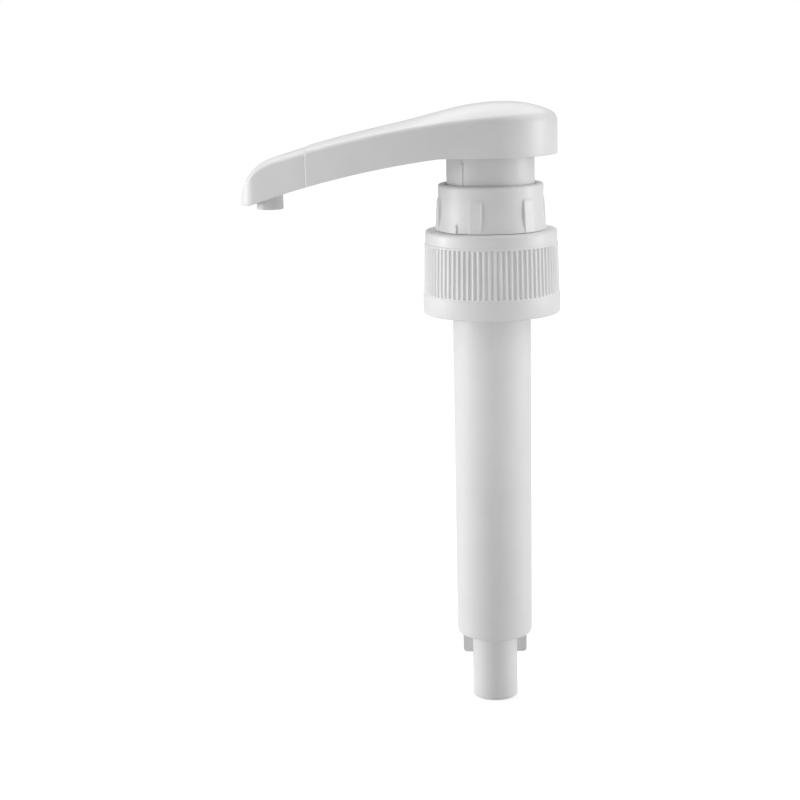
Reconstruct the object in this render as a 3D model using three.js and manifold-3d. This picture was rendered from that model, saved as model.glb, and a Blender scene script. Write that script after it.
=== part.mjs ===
// Condiment pump dispenser: a large-dose plunger pump that screws onto the neck of a gallon jar.
// The origin is on the pump's axis, at the sealing face of the jar's neck.
// +Z points up, the spout points along -X, and all sizes are in millimetres.
// The pump is drawn locked down: the head is at the bottom of its travel.

import * as THREE from 'three';
import { LoftGeometry } from 'three/addons/geometries/LoftGeometry.js';
import { mergeVertices } from 'three/addons/utils/BufferGeometryUtils.js';
import Module from 'manifold-3d';

const wasm = await Module();
wasm.setup();

// ---------------------------------------------------------------- driving dimensions

// Clearances
const RUNNING_GAP = 0.1; // between pieces that slide or turn on each other
const SEAT_GAP = 0.1; // between pieces that rest face to face
const FITTED_GAP = 0.3; // between pieces that meet at an angle

// Facets around a full turn
const ROUND = 36;
const SMALL_ROUND = 24;

// Barrel
const BARREL_TOP_RADIUS = 12.05;
const BARREL_BOTTOM_RADIUS = 11.8;
const BARREL_BOTTOM = -124.0;
const BORE_RADIUS = 10.5;
const BORE_FLOOR = -120.5;
const FLANGE_RADIUS = 18.2;
const FLANGE_THICKNESS = 1.5;
const BARREL_NECK_RADIUS = 13.2;
const BARREL_NECK_TOP = 8.1;
const SNAP_BEAD = 0.3;
const VENT_RADIUS = 0.9;
const VENT_HEIGHT = -7.0;

// Dip tube socket and the cross fin around it
const SOCKET_RADIUS = 7.1;
const SOCKET_BORE_RADIUS = 5.25;
const SOCKET_BOTTOM = -145.1;
const SOCKET_DEPTH = 18.1;
const FIN_REACH = 10.15;
const FIN_BOTTOM = -131.0;
const FIN_THICKNESS = 2.0;

// Inlet valve
const INLET_BALL_RADIUS = 3.97;
const INLET_PORT_RADIUS = 2.5;
const INLET_LIFT = 2.2;
const CAGE_BASE_THICKNESS = 1.4;

// Stroke, stem and piston
const STROKE = 86;
const STEM_RADIUS = 6.0;
const STEM_BORE_RADIUS = 4.2;
const STEM_BOTTOM = -101.0;
const STEM_TOP = 24.0;
const SHOULDER_RADIUS = 8.6;
const SHOULDER_HEIGHT = 2.6;
const PISTON_LENGTH = 9.8;
const PISTON_RADIUS = BORE_RADIUS - RUNNING_GAP;

// Return spring
const SPRING_RADIUS = 8.3;
const SPRING_WIRE_RADIUS = 0.65;
const SPRING_TURNS = 9;

// Gasket and closure (38 mm neck finish, six threads to the inch)
const GASKET_THICKNESS = 1.0;
const GASKET_BORE_RADIUS = 12.4;
const CLOSURE_TOP = 4.6;
const CLOSURE_BOTTOM = -20.8;
const CLOSURE_PANEL = 1.7;
const CLOSURE_HOLE_RADIUS = 13.8;
const CLOSURE_INNER_RADIUS = 19.0;
const CLOSURE_TOP_BAND_RADIUS = 20.15;
const CLOSURE_BOTTOM_BAND_RADIUS = 21.0;
const KNURL_TOP = 0.55;
const KNURL_BOTTOM = -14.8;
const KNURL_TOP_RADIUS = 20.4;
const KNURL_BOTTOM_RADIUS = 20.85;
const KNURL_DEPTH = 0.5;
const KNURL_COUNT = 78;
const NECK_THREAD_PITCH = 4.233;
const NECK_THREAD_CREST_RADIUS = 17.95;

// Locking collar
const COLLAR_BOTTOM = 4.9;
const COLLAR_TOP = 18.6;
const COLLAR_BASE_RADIUS = 16.95;
const COLLAR_WAIST_RADIUS = 15.9;
const COLLAR_WAIST_HEIGHT = 4.5; // above the collar's bottom
const COLLAR_TOP_RADIUS = 16.05;
const COLLAR_BORE_RADIUS = 13.9;
const COLLAR_FLOOR = 8.4;
const COLLAR_FLOOR_THICKNESS = 1.4;
const COLLAR_RIB_COUNT = 6;
const COLLAR_RIB_WIDTH = 4.0;
const COLLAR_RIB_TOP = 15.0;
const COLLAR_RIB_PROUD = 0.3; // how far a rib's top stands out from the collar's top radius
const COLLAR_RIB_PHASE = 12.7; // degrees from +X to the middle of the first rib
const COLLAR_LUG_ANGLE = -130; // degrees

// Head: a round hub with a domed roof, and a hooded spout that tapers and droops
const HUB_RADIUS = 20.3;
const HUB_TANGENT = 92; // degrees from +X where the hub's circle runs into the spout's side
const HUB_UNDERSIDE = 27.3;
const NOSE_RADIUS = 6.8;
const NOSE_CENTRE_X = -69.6;
const NOSE_TANGENT = 107; // degrees from +X where the spout's side runs into the nose's circle
const NOSE_UNDERSIDE = 13.1;
const NOSE_ROLL_START = -67.0; // X where the roof line starts to roll over the nose
const EDGE_HEIGHT = 38.85; // height of the hood's top edge beside the pump's axis
const EDGE_SLOPE = 0.0565; // slope of that edge beside the axis
const EDGE_DROOP = 0.002; // how the edge falls away from a straight line, per millimetre squared
const SPOUT_DEPTH = 10.05; // depth of the spout's side wall, taken back to the axis
const SPOUT_DEPTH_GROWTH = 0.01; // how much deeper the side wall is for each millimetre outwards
const HOOD_WALL = 1.4;
const SIDE_FILLET = 1.3; // along the hood's top edge
const BACK_FILLET = 2.7; // behind the hub
const SMALLEST_FILLET = 0.4; // inside the hood
const SPOUT_CROWN = 1.15;
const DOME_CROWN = 2.85;
const DOME_LENGTH = 19.5; // how far along the spout the dome fades out
const DOME_FALL = 2.2; // exponent of that fade
const ROOF_FALL = 2.5; // exponent of the roof's fall from its middle to its edge
const SIDE_HANDLE = 0.36; // how firmly the spout's side holds its direction at each end
const TIP_SEAM_X = -55.5;

// Head: skirt and stem boss under the hub
const SKIRT_RADIUS = 13.4;
const SKIRT_BORE_RADIUS = 11.9;
const SKIRT_BOTTOM = 10.1;
const BOSS_RADIUS = 8.8;
const BOSS_BOTTOM = 12.0;
const CHAMBER_RADIUS = 4.65;
const CHAMBER_TOP = 38.2;
const DISCHARGE_BALL_RADIUS = 3.175;
const DISCHARGE_LIFT = 1.8;

// Lock thread between the skirt and the collar: two starts
const LOCK_THREAD_PITCH = 4.0;
const LOCK_THREAD_CREST = 0.3;

// Delivery tube and outlet nozzle
const TUBE_RADIUS = 3.5;
const TUBE_BORE_RADIUS = 2.7;
const TUBE_HEIGHT_AT_AXIS = 35.6;
const TUBE_SLOPE = 12.26 * Math.PI / 180;
const TUBE_START_X = -5.8;
const TUBE_END_X = -63.2;
const NOZZLE_X = -67.3;
const NOZZLE_RADIUS = 4.1;
const NOZZLE_BORE_RADIUS = 3.0;
const NOZZLE_BOTTOM = 11.7;
const ELBOW_RADIUS = 4.15;
const ELBOW_HEIGHT = 19.5;

// ---------------------------------------------------------------- materials

function plastic(color, roughness) {
  return new THREE.MeshStandardMaterial({ color, roughness, metalness: 0 });
}

const whitePlastic = plastic(0xf3f3f1, 0.38);
const naturalPlastic = plastic(0xe4e1d6, 0.45);
const softSeal = plastic(0xb9bcbd, 0.6);
const foam = plastic(0xdad6cb, 0.9);
const stainless = new THREE.MeshStandardMaterial({ color: 0xc4c6c8, roughness: 0.22, metalness: 1 });

// ---------------------------------------------------------------- geometry helpers

const TURN = 2 * Math.PI;
const DEGREE = Math.PI / 180;

// Merges shared corners, drops faces without area and turns the faces outwards.
function closedGeometry(geometry) {
  geometry.deleteAttribute('normal');
  geometry.deleteAttribute('uv');
  const merged = mergeVertices(new THREE.BufferGeometry().copy(geometry), 1e-4);
  const faces = [];
  for (let i = 0; i < merged.index.count; i += 3) {
    const face = [0, 1, 2].map((k) => merged.index.getX(i + k));
    if (new Set(face).size === 3) faces.push(face);
  }
  const corner = (i) => new THREE.Vector3().fromBufferAttribute(merged.attributes.position, i);
  let volume = 0;
  for (const [a, b, c] of faces) {
    volume += corner(a).dot(corner(b).cross(corner(c)));
  }
  const outward = volume > 0 ? faces : faces.map(([a, b, c]) => [a, c, b]);
  merged.setIndex(outward.flat());
  return merged;
}

function solidOf(geometry) {
  const closed = closedGeometry(geometry);
  const vertProperties = new Float32Array(closed.attributes.position.array);
  const triVerts = new Uint32Array(closed.index.array);
  return new wasm.Manifold(new wasm.Mesh({ numProp: 3, vertProperties, triVerts }));
}

function geometryOf(solid) {
  const { vertProperties, triVerts } = solid.getMesh();
  const geometry = new THREE.BufferGeometry();
  geometry.setAttribute('position', new THREE.BufferAttribute(vertProperties, 3));
  geometry.setIndex(new THREE.BufferAttribute(triVerts, 1));
  geometry.computeVertexNormals();
  return geometry;
}

function join(...solids) {
  return solids.reduce((whole, solid) => whole.add(solid));
}

function cut(solid, ...tools) {
  return tools.reduce((rest, tool) => rest.subtract(tool), solid);
}

// Rounds the corners of an outline: a corner is [x, y] or [x, y, setback],
// and the setback is how far from the corner its rounding starts.
function rounded(corners, steps = 2) {
  const points = [];
  corners.forEach(([x, y, setback = 0], i) => {
    const corner = new THREE.Vector2(x, y);
    if (setback === 0) {
      points.push(corner);
      return;
    }
    const before = new THREE.Vector2(...corners.at(i - 1).slice(0, 2));
    const after = new THREE.Vector2(...corners[(i + 1) % corners.length].slice(0, 2));
    const start = corner.clone().add(before.sub(corner).setLength(setback));
    const end = corner.clone().add(after.sub(corner).setLength(setback));
    points.push(...new THREE.QuadraticBezierCurve(start, corner, end).getPoints(steps));
  });
  return points;
}

// Turns a closed outline of [radius, height] corners about the pump's axis.
function turned(corners, facets = ROUND) {
  const outline = rounded(corners);
  outline.push(outline[0].clone());
  return solidOf(new THREE.LatheGeometry(outline, facets).rotateX(Math.PI / 2));
}

function cylinder(radius, bottom, top, facets = ROUND) {
  return turned([[0, bottom], [radius, bottom], [radius, top], [0, top]], facets);
}

function tube(radius, bore, bottom, top, facets = ROUND) {
  return turned([[bore, bottom], [radius, bottom], [radius, top], [bore, top]], facets);
}

function block(width, depth, height, x, y, z) {
  return solidOf(new THREE.BoxGeometry(width, depth, height).translate(x, y, z));
}

// A helical ridge on a wall of radius root: positive height stands outwards, negative inwards.
function threadRidge({ root, height, width, pitch, turns, bottom, phase = 0 }) {
  const stepsPerTurn = 20;
  const side = Math.sign(height);
  const embed = 0.3 * side;
  const count = Math.round(turns * stepsPerTurn);
  const sections = [];
  for (let i = 0; i <= count; i++) {
    const angle = phase + (i / stepsPerTurn) * TURN;
    const middle = bottom + (i / stepsPerTurn) * pitch;
    const leadIn = Math.min(1, (i + 0.6) / 3, (count - i + 0.6) / 3);
    const crest = root + height * leadIn;
    const corners = [
      [root - embed, (side * width) / 2],
      [crest, (side * width) / 5],
      [crest, (-side * width) / 5],
      [root - embed, (-side * width) / 2],
    ];
    sections.push(corners.map(([radius, offset]) => new THREE.Vector3(
      radius * Math.cos(angle),
      radius * Math.sin(angle),
      middle + offset,
    )));
  }
  return solidOf(new LoftGeometry(sections, { capStart: true, capEnd: true }));
}

function piece(name, material, solid) {
  const mesh = new THREE.Mesh(geometryOf(solid), material);
  mesh.name = name;
  return mesh;
}

// ---------------------------------------------------------------- barrel

const FLANGE_BOTTOM = GASKET_THICKNESS + SEAT_GAP;
const FLANGE_TOP = FLANGE_BOTTOM + FLANGE_THICKNESS;
const SEAT_BOTTOM = BORE_FLOOR - 4.5;
const SEAT_TOP_RADIUS = INLET_PORT_RADIUS + 4.5;
const SOCKET_BORE_TOP = SOCKET_BOTTOM + SOCKET_DEPTH;

// One wall of the cross fin, on the side given by the sign.
function fin(side) {
  const inner = side * (SOCKET_RADIUS - 0.9);
  const outer = side * FIN_REACH;
  const corners = [
    [inner, BARREL_BOTTOM + 0.5],
    [inner, FIN_BOTTOM],
    [outer, FIN_BOTTOM, 1.5],
    [outer, BARREL_BOTTOM + 0.5],
  ];
  const plate = new THREE.ExtrudeGeometry(new THREE.Shape(rounded(corners)), {
    depth: FIN_THICKNESS,
    bevelEnabled: false,
  });
  return solidOf(plate.rotateX(Math.PI / 2).translate(0, FIN_THICKNESS / 2, 0));
}

function barrel() {
  const bead = BARREL_NECK_RADIUS + SNAP_BEAD;
  const body = turned([
    [SOCKET_BORE_RADIUS, SOCKET_BOTTOM],
    [SOCKET_RADIUS, SOCKET_BOTTOM, 0.9],
    [SOCKET_RADIUS, BARREL_BOTTOM],
    [BARREL_BOTTOM_RADIUS, BARREL_BOTTOM, 1.4],
    [BARREL_TOP_RADIUS, FLANGE_BOTTOM],
    [FLANGE_RADIUS, FLANGE_BOTTOM],
    [FLANGE_RADIUS, FLANGE_TOP],
    [BARREL_NECK_RADIUS, FLANGE_TOP],
    [BARREL_NECK_RADIUS, BARREL_NECK_TOP - 1.9],
    [bead, BARREL_NECK_TOP - 1.2],
    [BARREL_NECK_RADIUS, BARREL_NECK_TOP],
    [BORE_RADIUS, BARREL_NECK_TOP],
    [BORE_RADIUS, BORE_FLOOR],
    [SEAT_TOP_RADIUS, BORE_FLOOR],
    [INLET_PORT_RADIUS, SEAT_BOTTOM],
    [INLET_PORT_RADIUS, SOCKET_BORE_TOP],
    [SOCKET_BORE_RADIUS, SOCKET_BORE_TOP],
  ]);
  const drill = cylinder(VENT_RADIUS, BORE_RADIUS - 2, BARREL_TOP_RADIUS + 2, 12);
  const vent = drill.rotate([-90, 0, 0]).translate([0, 0, VENT_HEIGHT]);
  return piece('pump_barrel', whitePlastic, cut(join(body, fin(-1), fin(1)), vent));
}

// ---------------------------------------------------------------- inlet valve

const CAGE_BASE_TOP = BORE_FLOOR + SEAT_GAP + CAGE_BASE_THICKNESS;
const SEAT_SLOPE = 45 * DEGREE;

// Height of a ball's middle when it sits on a 45 degree cone that is portRadius wide at its bottom.
function ballHeight(ballRadius, portRadius, coneBottom) {
  return coneBottom - portRadius + (ballRadius + SEAT_GAP) / Math.cos(SEAT_SLOPE);
}

const INLET_BALL_HEIGHT = ballHeight(INLET_BALL_RADIUS, INLET_PORT_RADIUS, SEAT_BOTTOM);
const CAGE_STOP = INLET_BALL_HEIGHT + INLET_BALL_RADIUS + INLET_LIFT + SEAT_GAP;

function ball(name, radius, height) {
  const mesh = piece(name, stainless, solidOf(new THREE.IcosahedronGeometry(radius, 2)));
  mesh.position.z = height;
  return mesh;
}

// A ring on the barrel's floor with a windowed tower that keeps the inlet ball over its seat.
function inletCage() {
  const ballRoom = INLET_BALL_RADIUS + 0.45;
  const towerRadius = ballRoom + 1.9;
  const body = turned([
    [ballRoom, BORE_FLOOR + SEAT_GAP],
    [BORE_RADIUS - SEAT_GAP, BORE_FLOOR + SEAT_GAP],
    [BORE_RADIUS - SEAT_GAP, CAGE_BASE_TOP],
    [towerRadius, CAGE_BASE_TOP],
    [towerRadius, CAGE_STOP + 1.6, 0.8],
    [0, CAGE_STOP + 1.6],
    [0, CAGE_STOP],
    [ballRoom, CAGE_STOP],
  ], SMALL_ROUND);
  const windowHeight = CAGE_STOP - CAGE_BASE_TOP - 0.6;
  const windowMiddle = (CAGE_STOP + CAGE_BASE_TOP) / 2;
  const windows = [0, 60, 120].map((angle) => (
    block(3 * towerRadius, 3.4, windowHeight, 0, 0, windowMiddle).rotate([0, 0, angle])
  ));
  return piece('inlet_ball_cage', naturalPlastic, cut(body, ...windows));
}

// ---------------------------------------------------------------- return spring

class Helix extends THREE.Curve {
  constructor(radius, bottom, top, turns) {
    super();
    Object.assign(this, { radius, bottom, top, turns });
  }

  getPoint(t, target = new THREE.Vector3()) {
    const angle = t * this.turns * TURN;
    const height = this.bottom + t * (this.top - this.bottom);
    return target.set(this.radius * Math.cos(angle), this.radius * Math.sin(angle), height);
  }
}

const RETAINER_TOP = STEM_BOTTOM - 0.3;
const RETAINER_BOTTOM = RETAINER_TOP - 2.2;

function returnSpring() {
  const bottom = CAGE_BASE_TOP + SEAT_GAP + SPRING_WIRE_RADIUS;
  const top = RETAINER_BOTTOM - SEAT_GAP - SPRING_WIRE_RADIUS;
  const wire = new THREE.Shape().absarc(0, 0, SPRING_WIRE_RADIUS, 0, TURN);
  const coil = new THREE.ExtrudeGeometry(wire, {
    steps: SPRING_TURNS * 10,
    curveSegments: 3,
    extrudePath: new Helix(SPRING_RADIUS, bottom, top, SPRING_TURNS),
  });
  return piece('return_spring', stainless, solidOf(coil));
}

// ---------------------------------------------------------------- piston and stem

const PISTON_TOP = STEM_BOTTOM + PISTON_LENGTH;
const SHOULDER_BOTTOM = PISTON_TOP + SEAT_GAP;
const SHOULDER_TOP = SHOULDER_BOTTOM + SHOULDER_HEIGHT;

// A double cup: a hub on the stem, a web, and a wall with a lip at each end.
function pistonCup() {
  const hubBore = STEM_RADIUS + RUNNING_GAP;
  const hub = hubBore + 1.5;
  const wall = PISTON_RADIUS - 0.4;
  const lip = 0.7;
  const middle = (STEM_BOTTOM + PISTON_TOP) / 2;
  return piece('piston_cup', naturalPlastic, turned([
    [hubBore, STEM_BOTTOM],
    [hub, STEM_BOTTOM],
    [hub, middle - 1],
    [wall - lip, middle - 1],
    [PISTON_RADIUS - lip, STEM_BOTTOM + 0.2],
    [PISTON_RADIUS, STEM_BOTTOM + 0.2],
    [wall, STEM_BOTTOM + 2.5],
    [wall, PISTON_TOP - 2.5],
    [PISTON_RADIUS, PISTON_TOP - 0.2],
    [PISTON_RADIUS - lip, PISTON_TOP - 0.2],
    [wall - lip, middle + 1],
    [hub, middle + 1],
    [hub, PISTON_TOP],
    [hubBore, PISTON_TOP],
  ], SMALL_ROUND));
}

// A flange under the piston with a spigot up into the stem and a boss that centres the spring.
function pistonRetainer() {
  const bore = STEM_BORE_RADIUS - 1.3;
  const spigot = STEM_BORE_RADIUS - SEAT_GAP;
  const boss = SPRING_RADIUS - SPRING_WIRE_RADIUS - 0.4;
  const flange = BORE_RADIUS - 1.1;
  return piece('piston_retainer', naturalPlastic, turned([
    [bore, RETAINER_BOTTOM - 1.5],
    [boss, RETAINER_BOTTOM - 1.5, 0.5],
    [boss, RETAINER_BOTTOM],
    [flange, RETAINER_BOTTOM],
    [flange, RETAINER_TOP],
    [spigot, RETAINER_TOP],
    [spigot, STEM_BOTTOM + 5],
    [bore, STEM_BOTTOM + 5],
  ], SMALL_ROUND));
}

// A tube with a shoulder that presses on the piston and stops the stroke at the guide bush.
function stem() {
  const shoulderSlope = 1.2;
  return piece('stem', whitePlastic, turned([
    [STEM_BORE_RADIUS, STEM_BOTTOM],
    [STEM_RADIUS, STEM_BOTTOM],
    [STEM_RADIUS, SHOULDER_BOTTOM],
    [SHOULDER_RADIUS, SHOULDER_BOTTOM],
    [SHOULDER_RADIUS, SHOULDER_TOP - shoulderSlope],
    [STEM_RADIUS, SHOULDER_TOP],
    [STEM_RADIUS, STEM_TOP],
    [STEM_BORE_RADIUS, STEM_TOP],
  ], SMALL_ROUND));
}

// ---------------------------------------------------------------- guide, wiper and gasket

const GUIDE_TOP = 6.2;
const WIPER_BOTTOM = GUIDE_TOP + SEAT_GAP;

// A bush in the top of the barrel that guides the stem: a sleeve, a web and an outer wall.
function stemGuide() {
  const bore = STEM_RADIUS + RUNNING_GAP;
  const sleeve = bore + 1.9;
  const sleeveBottom = SHOULDER_TOP + STROKE + RUNNING_GAP;
  const outer = BORE_RADIUS - SEAT_GAP;
  const wall = outer - 1.2;
  const wallBottom = GUIDE_TOP - 5.7;
  const webBottom = GUIDE_TOP - 2.2;
  return piece('stem_guide_bush', naturalPlastic, turned([
    [bore, sleeveBottom],
    [sleeve, sleeveBottom],
    [sleeve, webBottom],
    [wall, webBottom],
    [wall, wallBottom],
    [outer, wallBottom],
    [outer, GUIDE_TOP],
    [bore, GUIDE_TOP],
  ], SMALL_ROUND));
}

// A soft washer between the bush and the collar's floor, with a lip that wipes the stem.
function stemWiper() {
  const lip = STEM_RADIUS + RUNNING_GAP;
  const washer = lip + 1.1;
  const outer = BORE_RADIUS - SEAT_GAP;
  const washerTop = WIPER_BOTTOM + 1.4;
  const lipTop = washerTop + 0.5;
  return piece('stem_wiper', softSeal, turned([
    [washer, WIPER_BOTTOM],
    [outer, WIPER_BOTTOM],
    [outer, washerTop],
    [washer, washerTop],
    [lip + 0.5, lipTop],
    [lip, lipTop],
    [lip, washerTop + 0.1],
  ], SMALL_ROUND));
}

function gasket() {
  return piece('neck_gasket', foam, tube(FLANGE_RADIUS, GASKET_BORE_RADIUS, 0, GASKET_THICKNESS));
}

// ---------------------------------------------------------------- closure

// The knurled belt: crests and grooves around a cone that widens downwards.
function knurlBelt(bottom, top) {
  const ringAt = (height) => {
    const share = (height - KNURL_BOTTOM) / (KNURL_TOP - KNURL_BOTTOM);
    const crest = THREE.MathUtils.lerp(KNURL_BOTTOM_RADIUS, KNURL_TOP_RADIUS, share);
    const root = crest - KNURL_DEPTH;
    const ring = [];
    for (let i = 0; i < KNURL_COUNT; i++) {
      for (const [offset, radius] of [[0, crest], [0.5, root]]) {
        const angle = ((i + offset) / KNURL_COUNT) * TURN;
        ring.push(new THREE.Vector3(radius * Math.cos(angle), radius * Math.sin(angle), height));
      }
    }
    return ring;
  };
  const belt = new LoftGeometry([ringAt(bottom), ringAt(top)], { capStart: true, capEnd: true });
  return cut(solidOf(belt), cylinder(CLOSURE_INNER_RADIUS + 0.4, bottom - 1, top + 1));
}

function closure() {
  const panelBottom = CLOSURE_TOP - CLOSURE_PANEL;
  const beltBacking = CLOSURE_INNER_RADIUS + 0.7;
  const body = turned([
    [CLOSURE_INNER_RADIUS, CLOSURE_BOTTOM],
    [CLOSURE_BOTTOM_BAND_RADIUS, CLOSURE_BOTTOM, 0.6],
    [CLOSURE_BOTTOM_BAND_RADIUS, KNURL_BOTTOM],
    [beltBacking, KNURL_BOTTOM],
    [beltBacking, KNURL_TOP - 0.3],
    [CLOSURE_TOP_BAND_RADIUS, KNURL_TOP],
    [CLOSURE_TOP_BAND_RADIUS, CLOSURE_TOP, 1.1],
    [CLOSURE_HOLE_RADIUS, CLOSURE_TOP],
    [CLOSURE_HOLE_RADIUS, panelBottom],
    [CLOSURE_INNER_RADIUS, panelBottom],
  ]);
  const thread = threadRidge({
    root: CLOSURE_INNER_RADIUS,
    height: NECK_THREAD_CREST_RADIUS - CLOSURE_INNER_RADIUS,
    width: 2.4,
    pitch: NECK_THREAD_PITCH,
    turns: 1.6,
    bottom: -11.5,
  });
  const belt = knurlBelt(KNURL_BOTTOM - 0.2, KNURL_TOP);
  return piece('closure', whitePlastic, join(body, belt, thread));
}

// ---------------------------------------------------------------- locking collar

// A raised rib down the collar's side with a rounded top. Its face leans out to the collar's base.
function collarRib(angle) {
  const half = COLLAR_RIB_WIDTH / 2;
  const corners = [
    [-half, COLLAR_BOTTOM],
    [half, COLLAR_BOTTOM],
    [half, COLLAR_RIB_TOP, 1],
    [-half, COLLAR_RIB_TOP, 1],
  ];
  const inner = COLLAR_BORE_RADIUS + 0.6;
  const outer = COLLAR_TOP_RADIUS + COLLAR_RIB_PROUD;
  const rib = new THREE.ExtrudeGeometry(new THREE.Shape(rounded(corners)), {
    depth: outer - inner,
    bevelEnabled: false,
  });
  const upright = solidOf(rib.rotateX(Math.PI / 2).rotateZ(Math.PI / 2).translate(inner, 0, 0));
  const lean = Math.atan2(COLLAR_BASE_RADIUS - outer, COLLAR_RIB_TOP - COLLAR_BOTTOM) / DEGREE;
  const hinge = [-outer, 0, -COLLAR_RIB_TOP];
  const leaning = upright.translate(hinge).rotate([0, -lean, 0]).translate([outer, 0, COLLAR_RIB_TOP]);
  const belowBase = block(60, 60, 10, 0, 0, COLLAR_BOTTOM - 5);
  return cut(leaning, belowBase).rotate([0, 0, angle]);
}

function lockThread(root, height, bottom, phase) {
  return threadRidge({
    root,
    height,
    width: 1.4,
    pitch: 2 * LOCK_THREAD_PITCH,
    turns: 0.4,
    bottom,
    phase,
  });
}

function lockingCollar() {
  const floorTop = COLLAR_FLOOR + COLLAR_FLOOR_THICKNESS;
  const body = turned([
    [BARREL_NECK_RADIUS + 0.5, COLLAR_BOTTOM],
    [COLLAR_BASE_RADIUS, COLLAR_BOTTOM],
    [COLLAR_WAIST_RADIUS, COLLAR_BOTTOM + COLLAR_WAIST_HEIGHT, 2.5],
    [COLLAR_TOP_RADIUS, COLLAR_TOP, 2.0],
    [COLLAR_BORE_RADIUS, COLLAR_TOP, 0.3],
    [COLLAR_BORE_RADIUS, floorTop],
    [STEM_RADIUS + 0.3, floorTop],
    [STEM_RADIUS + 0.3, COLLAR_FLOOR],
    [BARREL_NECK_RADIUS + 0.5, COLLAR_FLOOR],
  ]);
  const ribs = Array.from({ length: COLLAR_RIB_COUNT }, (_, i) => (
    collarRib(COLLAR_RIB_PHASE + (i * 360) / COLLAR_RIB_COUNT)
  ));
  const lug = block(2, 1.2, 2.6, COLLAR_BASE_RADIUS - 0.6, 0, COLLAR_BOTTOM + 1.3)
    .rotate([0, 0, COLLAR_LUG_ANGLE]);
  const threads = [0, Math.PI].map((phase) => (
    lockThread(COLLAR_BORE_RADIUS, -LOCK_THREAD_CREST, floorTop + 3.2, phase)
  ));
  return piece('locking_collar', whitePlastic, join(body, ...ribs, lug, ...threads));
}

// ---------------------------------------------------------------- head

// The arc that rolls the roof line over the nose: it leaves the spout's parabola
// without a corner and is upright at the tip.
const NOSE_TIP_X = NOSE_CENTRE_X - NOSE_RADIUS;

function spoutLine(x) {
  return EDGE_HEIGHT + EDGE_SLOPE * x - EDGE_DROOP * x * x;
}

const ROLL_START_SLOPE = Math.atan(EDGE_SLOPE - 2 * EDGE_DROOP * NOSE_ROLL_START);
const ROLL_RADIUS = (NOSE_ROLL_START - NOSE_TIP_X) / (1 - Math.sin(ROLL_START_SLOPE));
const ROLL_CENTRE_X = NOSE_TIP_X + ROLL_RADIUS;
const ROLL_CENTRE_Z = spoutLine(NOSE_ROLL_START) - ROLL_RADIUS * Math.cos(ROLL_START_SLOPE);

// Height of the hood's top edge, for a skin that lies inset under the outer one.
function edgeHeight(x, inset) {
  if (x > NOSE_ROLL_START) return spoutLine(x) - inset;
  const radius = ROLL_RADIUS - inset;
  const reach = Math.min(radius, ROLL_CENTRE_X - x);
  return ROLL_CENTRE_Z + Math.sqrt(radius * radius - reach * reach);
}

// How far the middle of the roof stands above its edges: a dome on the hub, a slight crown beyond.
function crownHeight(x) {
  const fade = Math.exp(-((Math.max(0, -x) / DOME_LENGTH) ** DOME_FALL));
  return SPOUT_CROWN + DOME_CROWN * fade;
}

function undersideHeight(x) {
  const depth = SPOUT_DEPTH - SPOUT_DEPTH_GROWTH * x;
  return THREE.MathUtils.clamp(spoutLine(x) - depth, NOSE_UNDERSIDE, HUB_UNDERSIDE);
}

// The hood's plan, from the back of the hub round one side, the nose and the other side.
function hoodPlan(inset) {
  const onArc = (x, radius, degrees) => new THREE.Vector2(
    x + radius * Math.cos(degrees * DEGREE),
    radius * Math.sin(degrees * DEGREE),
  );
  const heading = (degrees) => new THREE.Vector2(
    -Math.sin(degrees * DEGREE),
    Math.cos(degrees * DEGREE),
  );
  const hub = HUB_RADIUS - inset;
  const nose = NOSE_RADIUS - inset;
  const start = onArc(0, hub, HUB_TANGENT);
  const end = onArc(NOSE_CENTRE_X, nose, NOSE_TANGENT);
  const handle = start.distanceTo(end) * SIDE_HANDLE;
  const side = new THREE.CubicBezierCurve(
    start,
    start.clone().add(heading(HUB_TANGENT).multiplyScalar(handle)),
    end.clone().sub(heading(NOSE_TANGENT).multiplyScalar(handle)),
    end,
  );
  const half = [];
  const hubSteps = 9;
  for (let i = 0; i < hubSteps; i++) half.push(onArc(0, hub, (HUB_TANGENT * i) / hubSteps));
  half.push(...side.getPoints(7));
  const noseSteps = 5;
  for (let i = 1; i <= noseSteps; i++) {
    half.push(onArc(NOSE_CENTRE_X, nose, THREE.MathUtils.lerp(NOSE_TANGENT, 180, i / noseSteps)));
  }
  const mirrored = half.slice(1, -1).reverse().map((p) => new THREE.Vector2(p.x, -p.y));
  return { points: [...half, ...mirrored], sideStartX: start.x, sideEndX: end.x };
}

// The rounding of the hood's top edge: tight along the spout, wide behind the hub.
function hoodFillet(x, inset) {
  const back = THREE.MathUtils.smoothstep(x, 0, HUB_RADIUS);
  return Math.max(SMALLEST_FILLET, THREE.MathUtils.lerp(SIDE_FILLET, BACK_FILLET, back) - inset);
}

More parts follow.
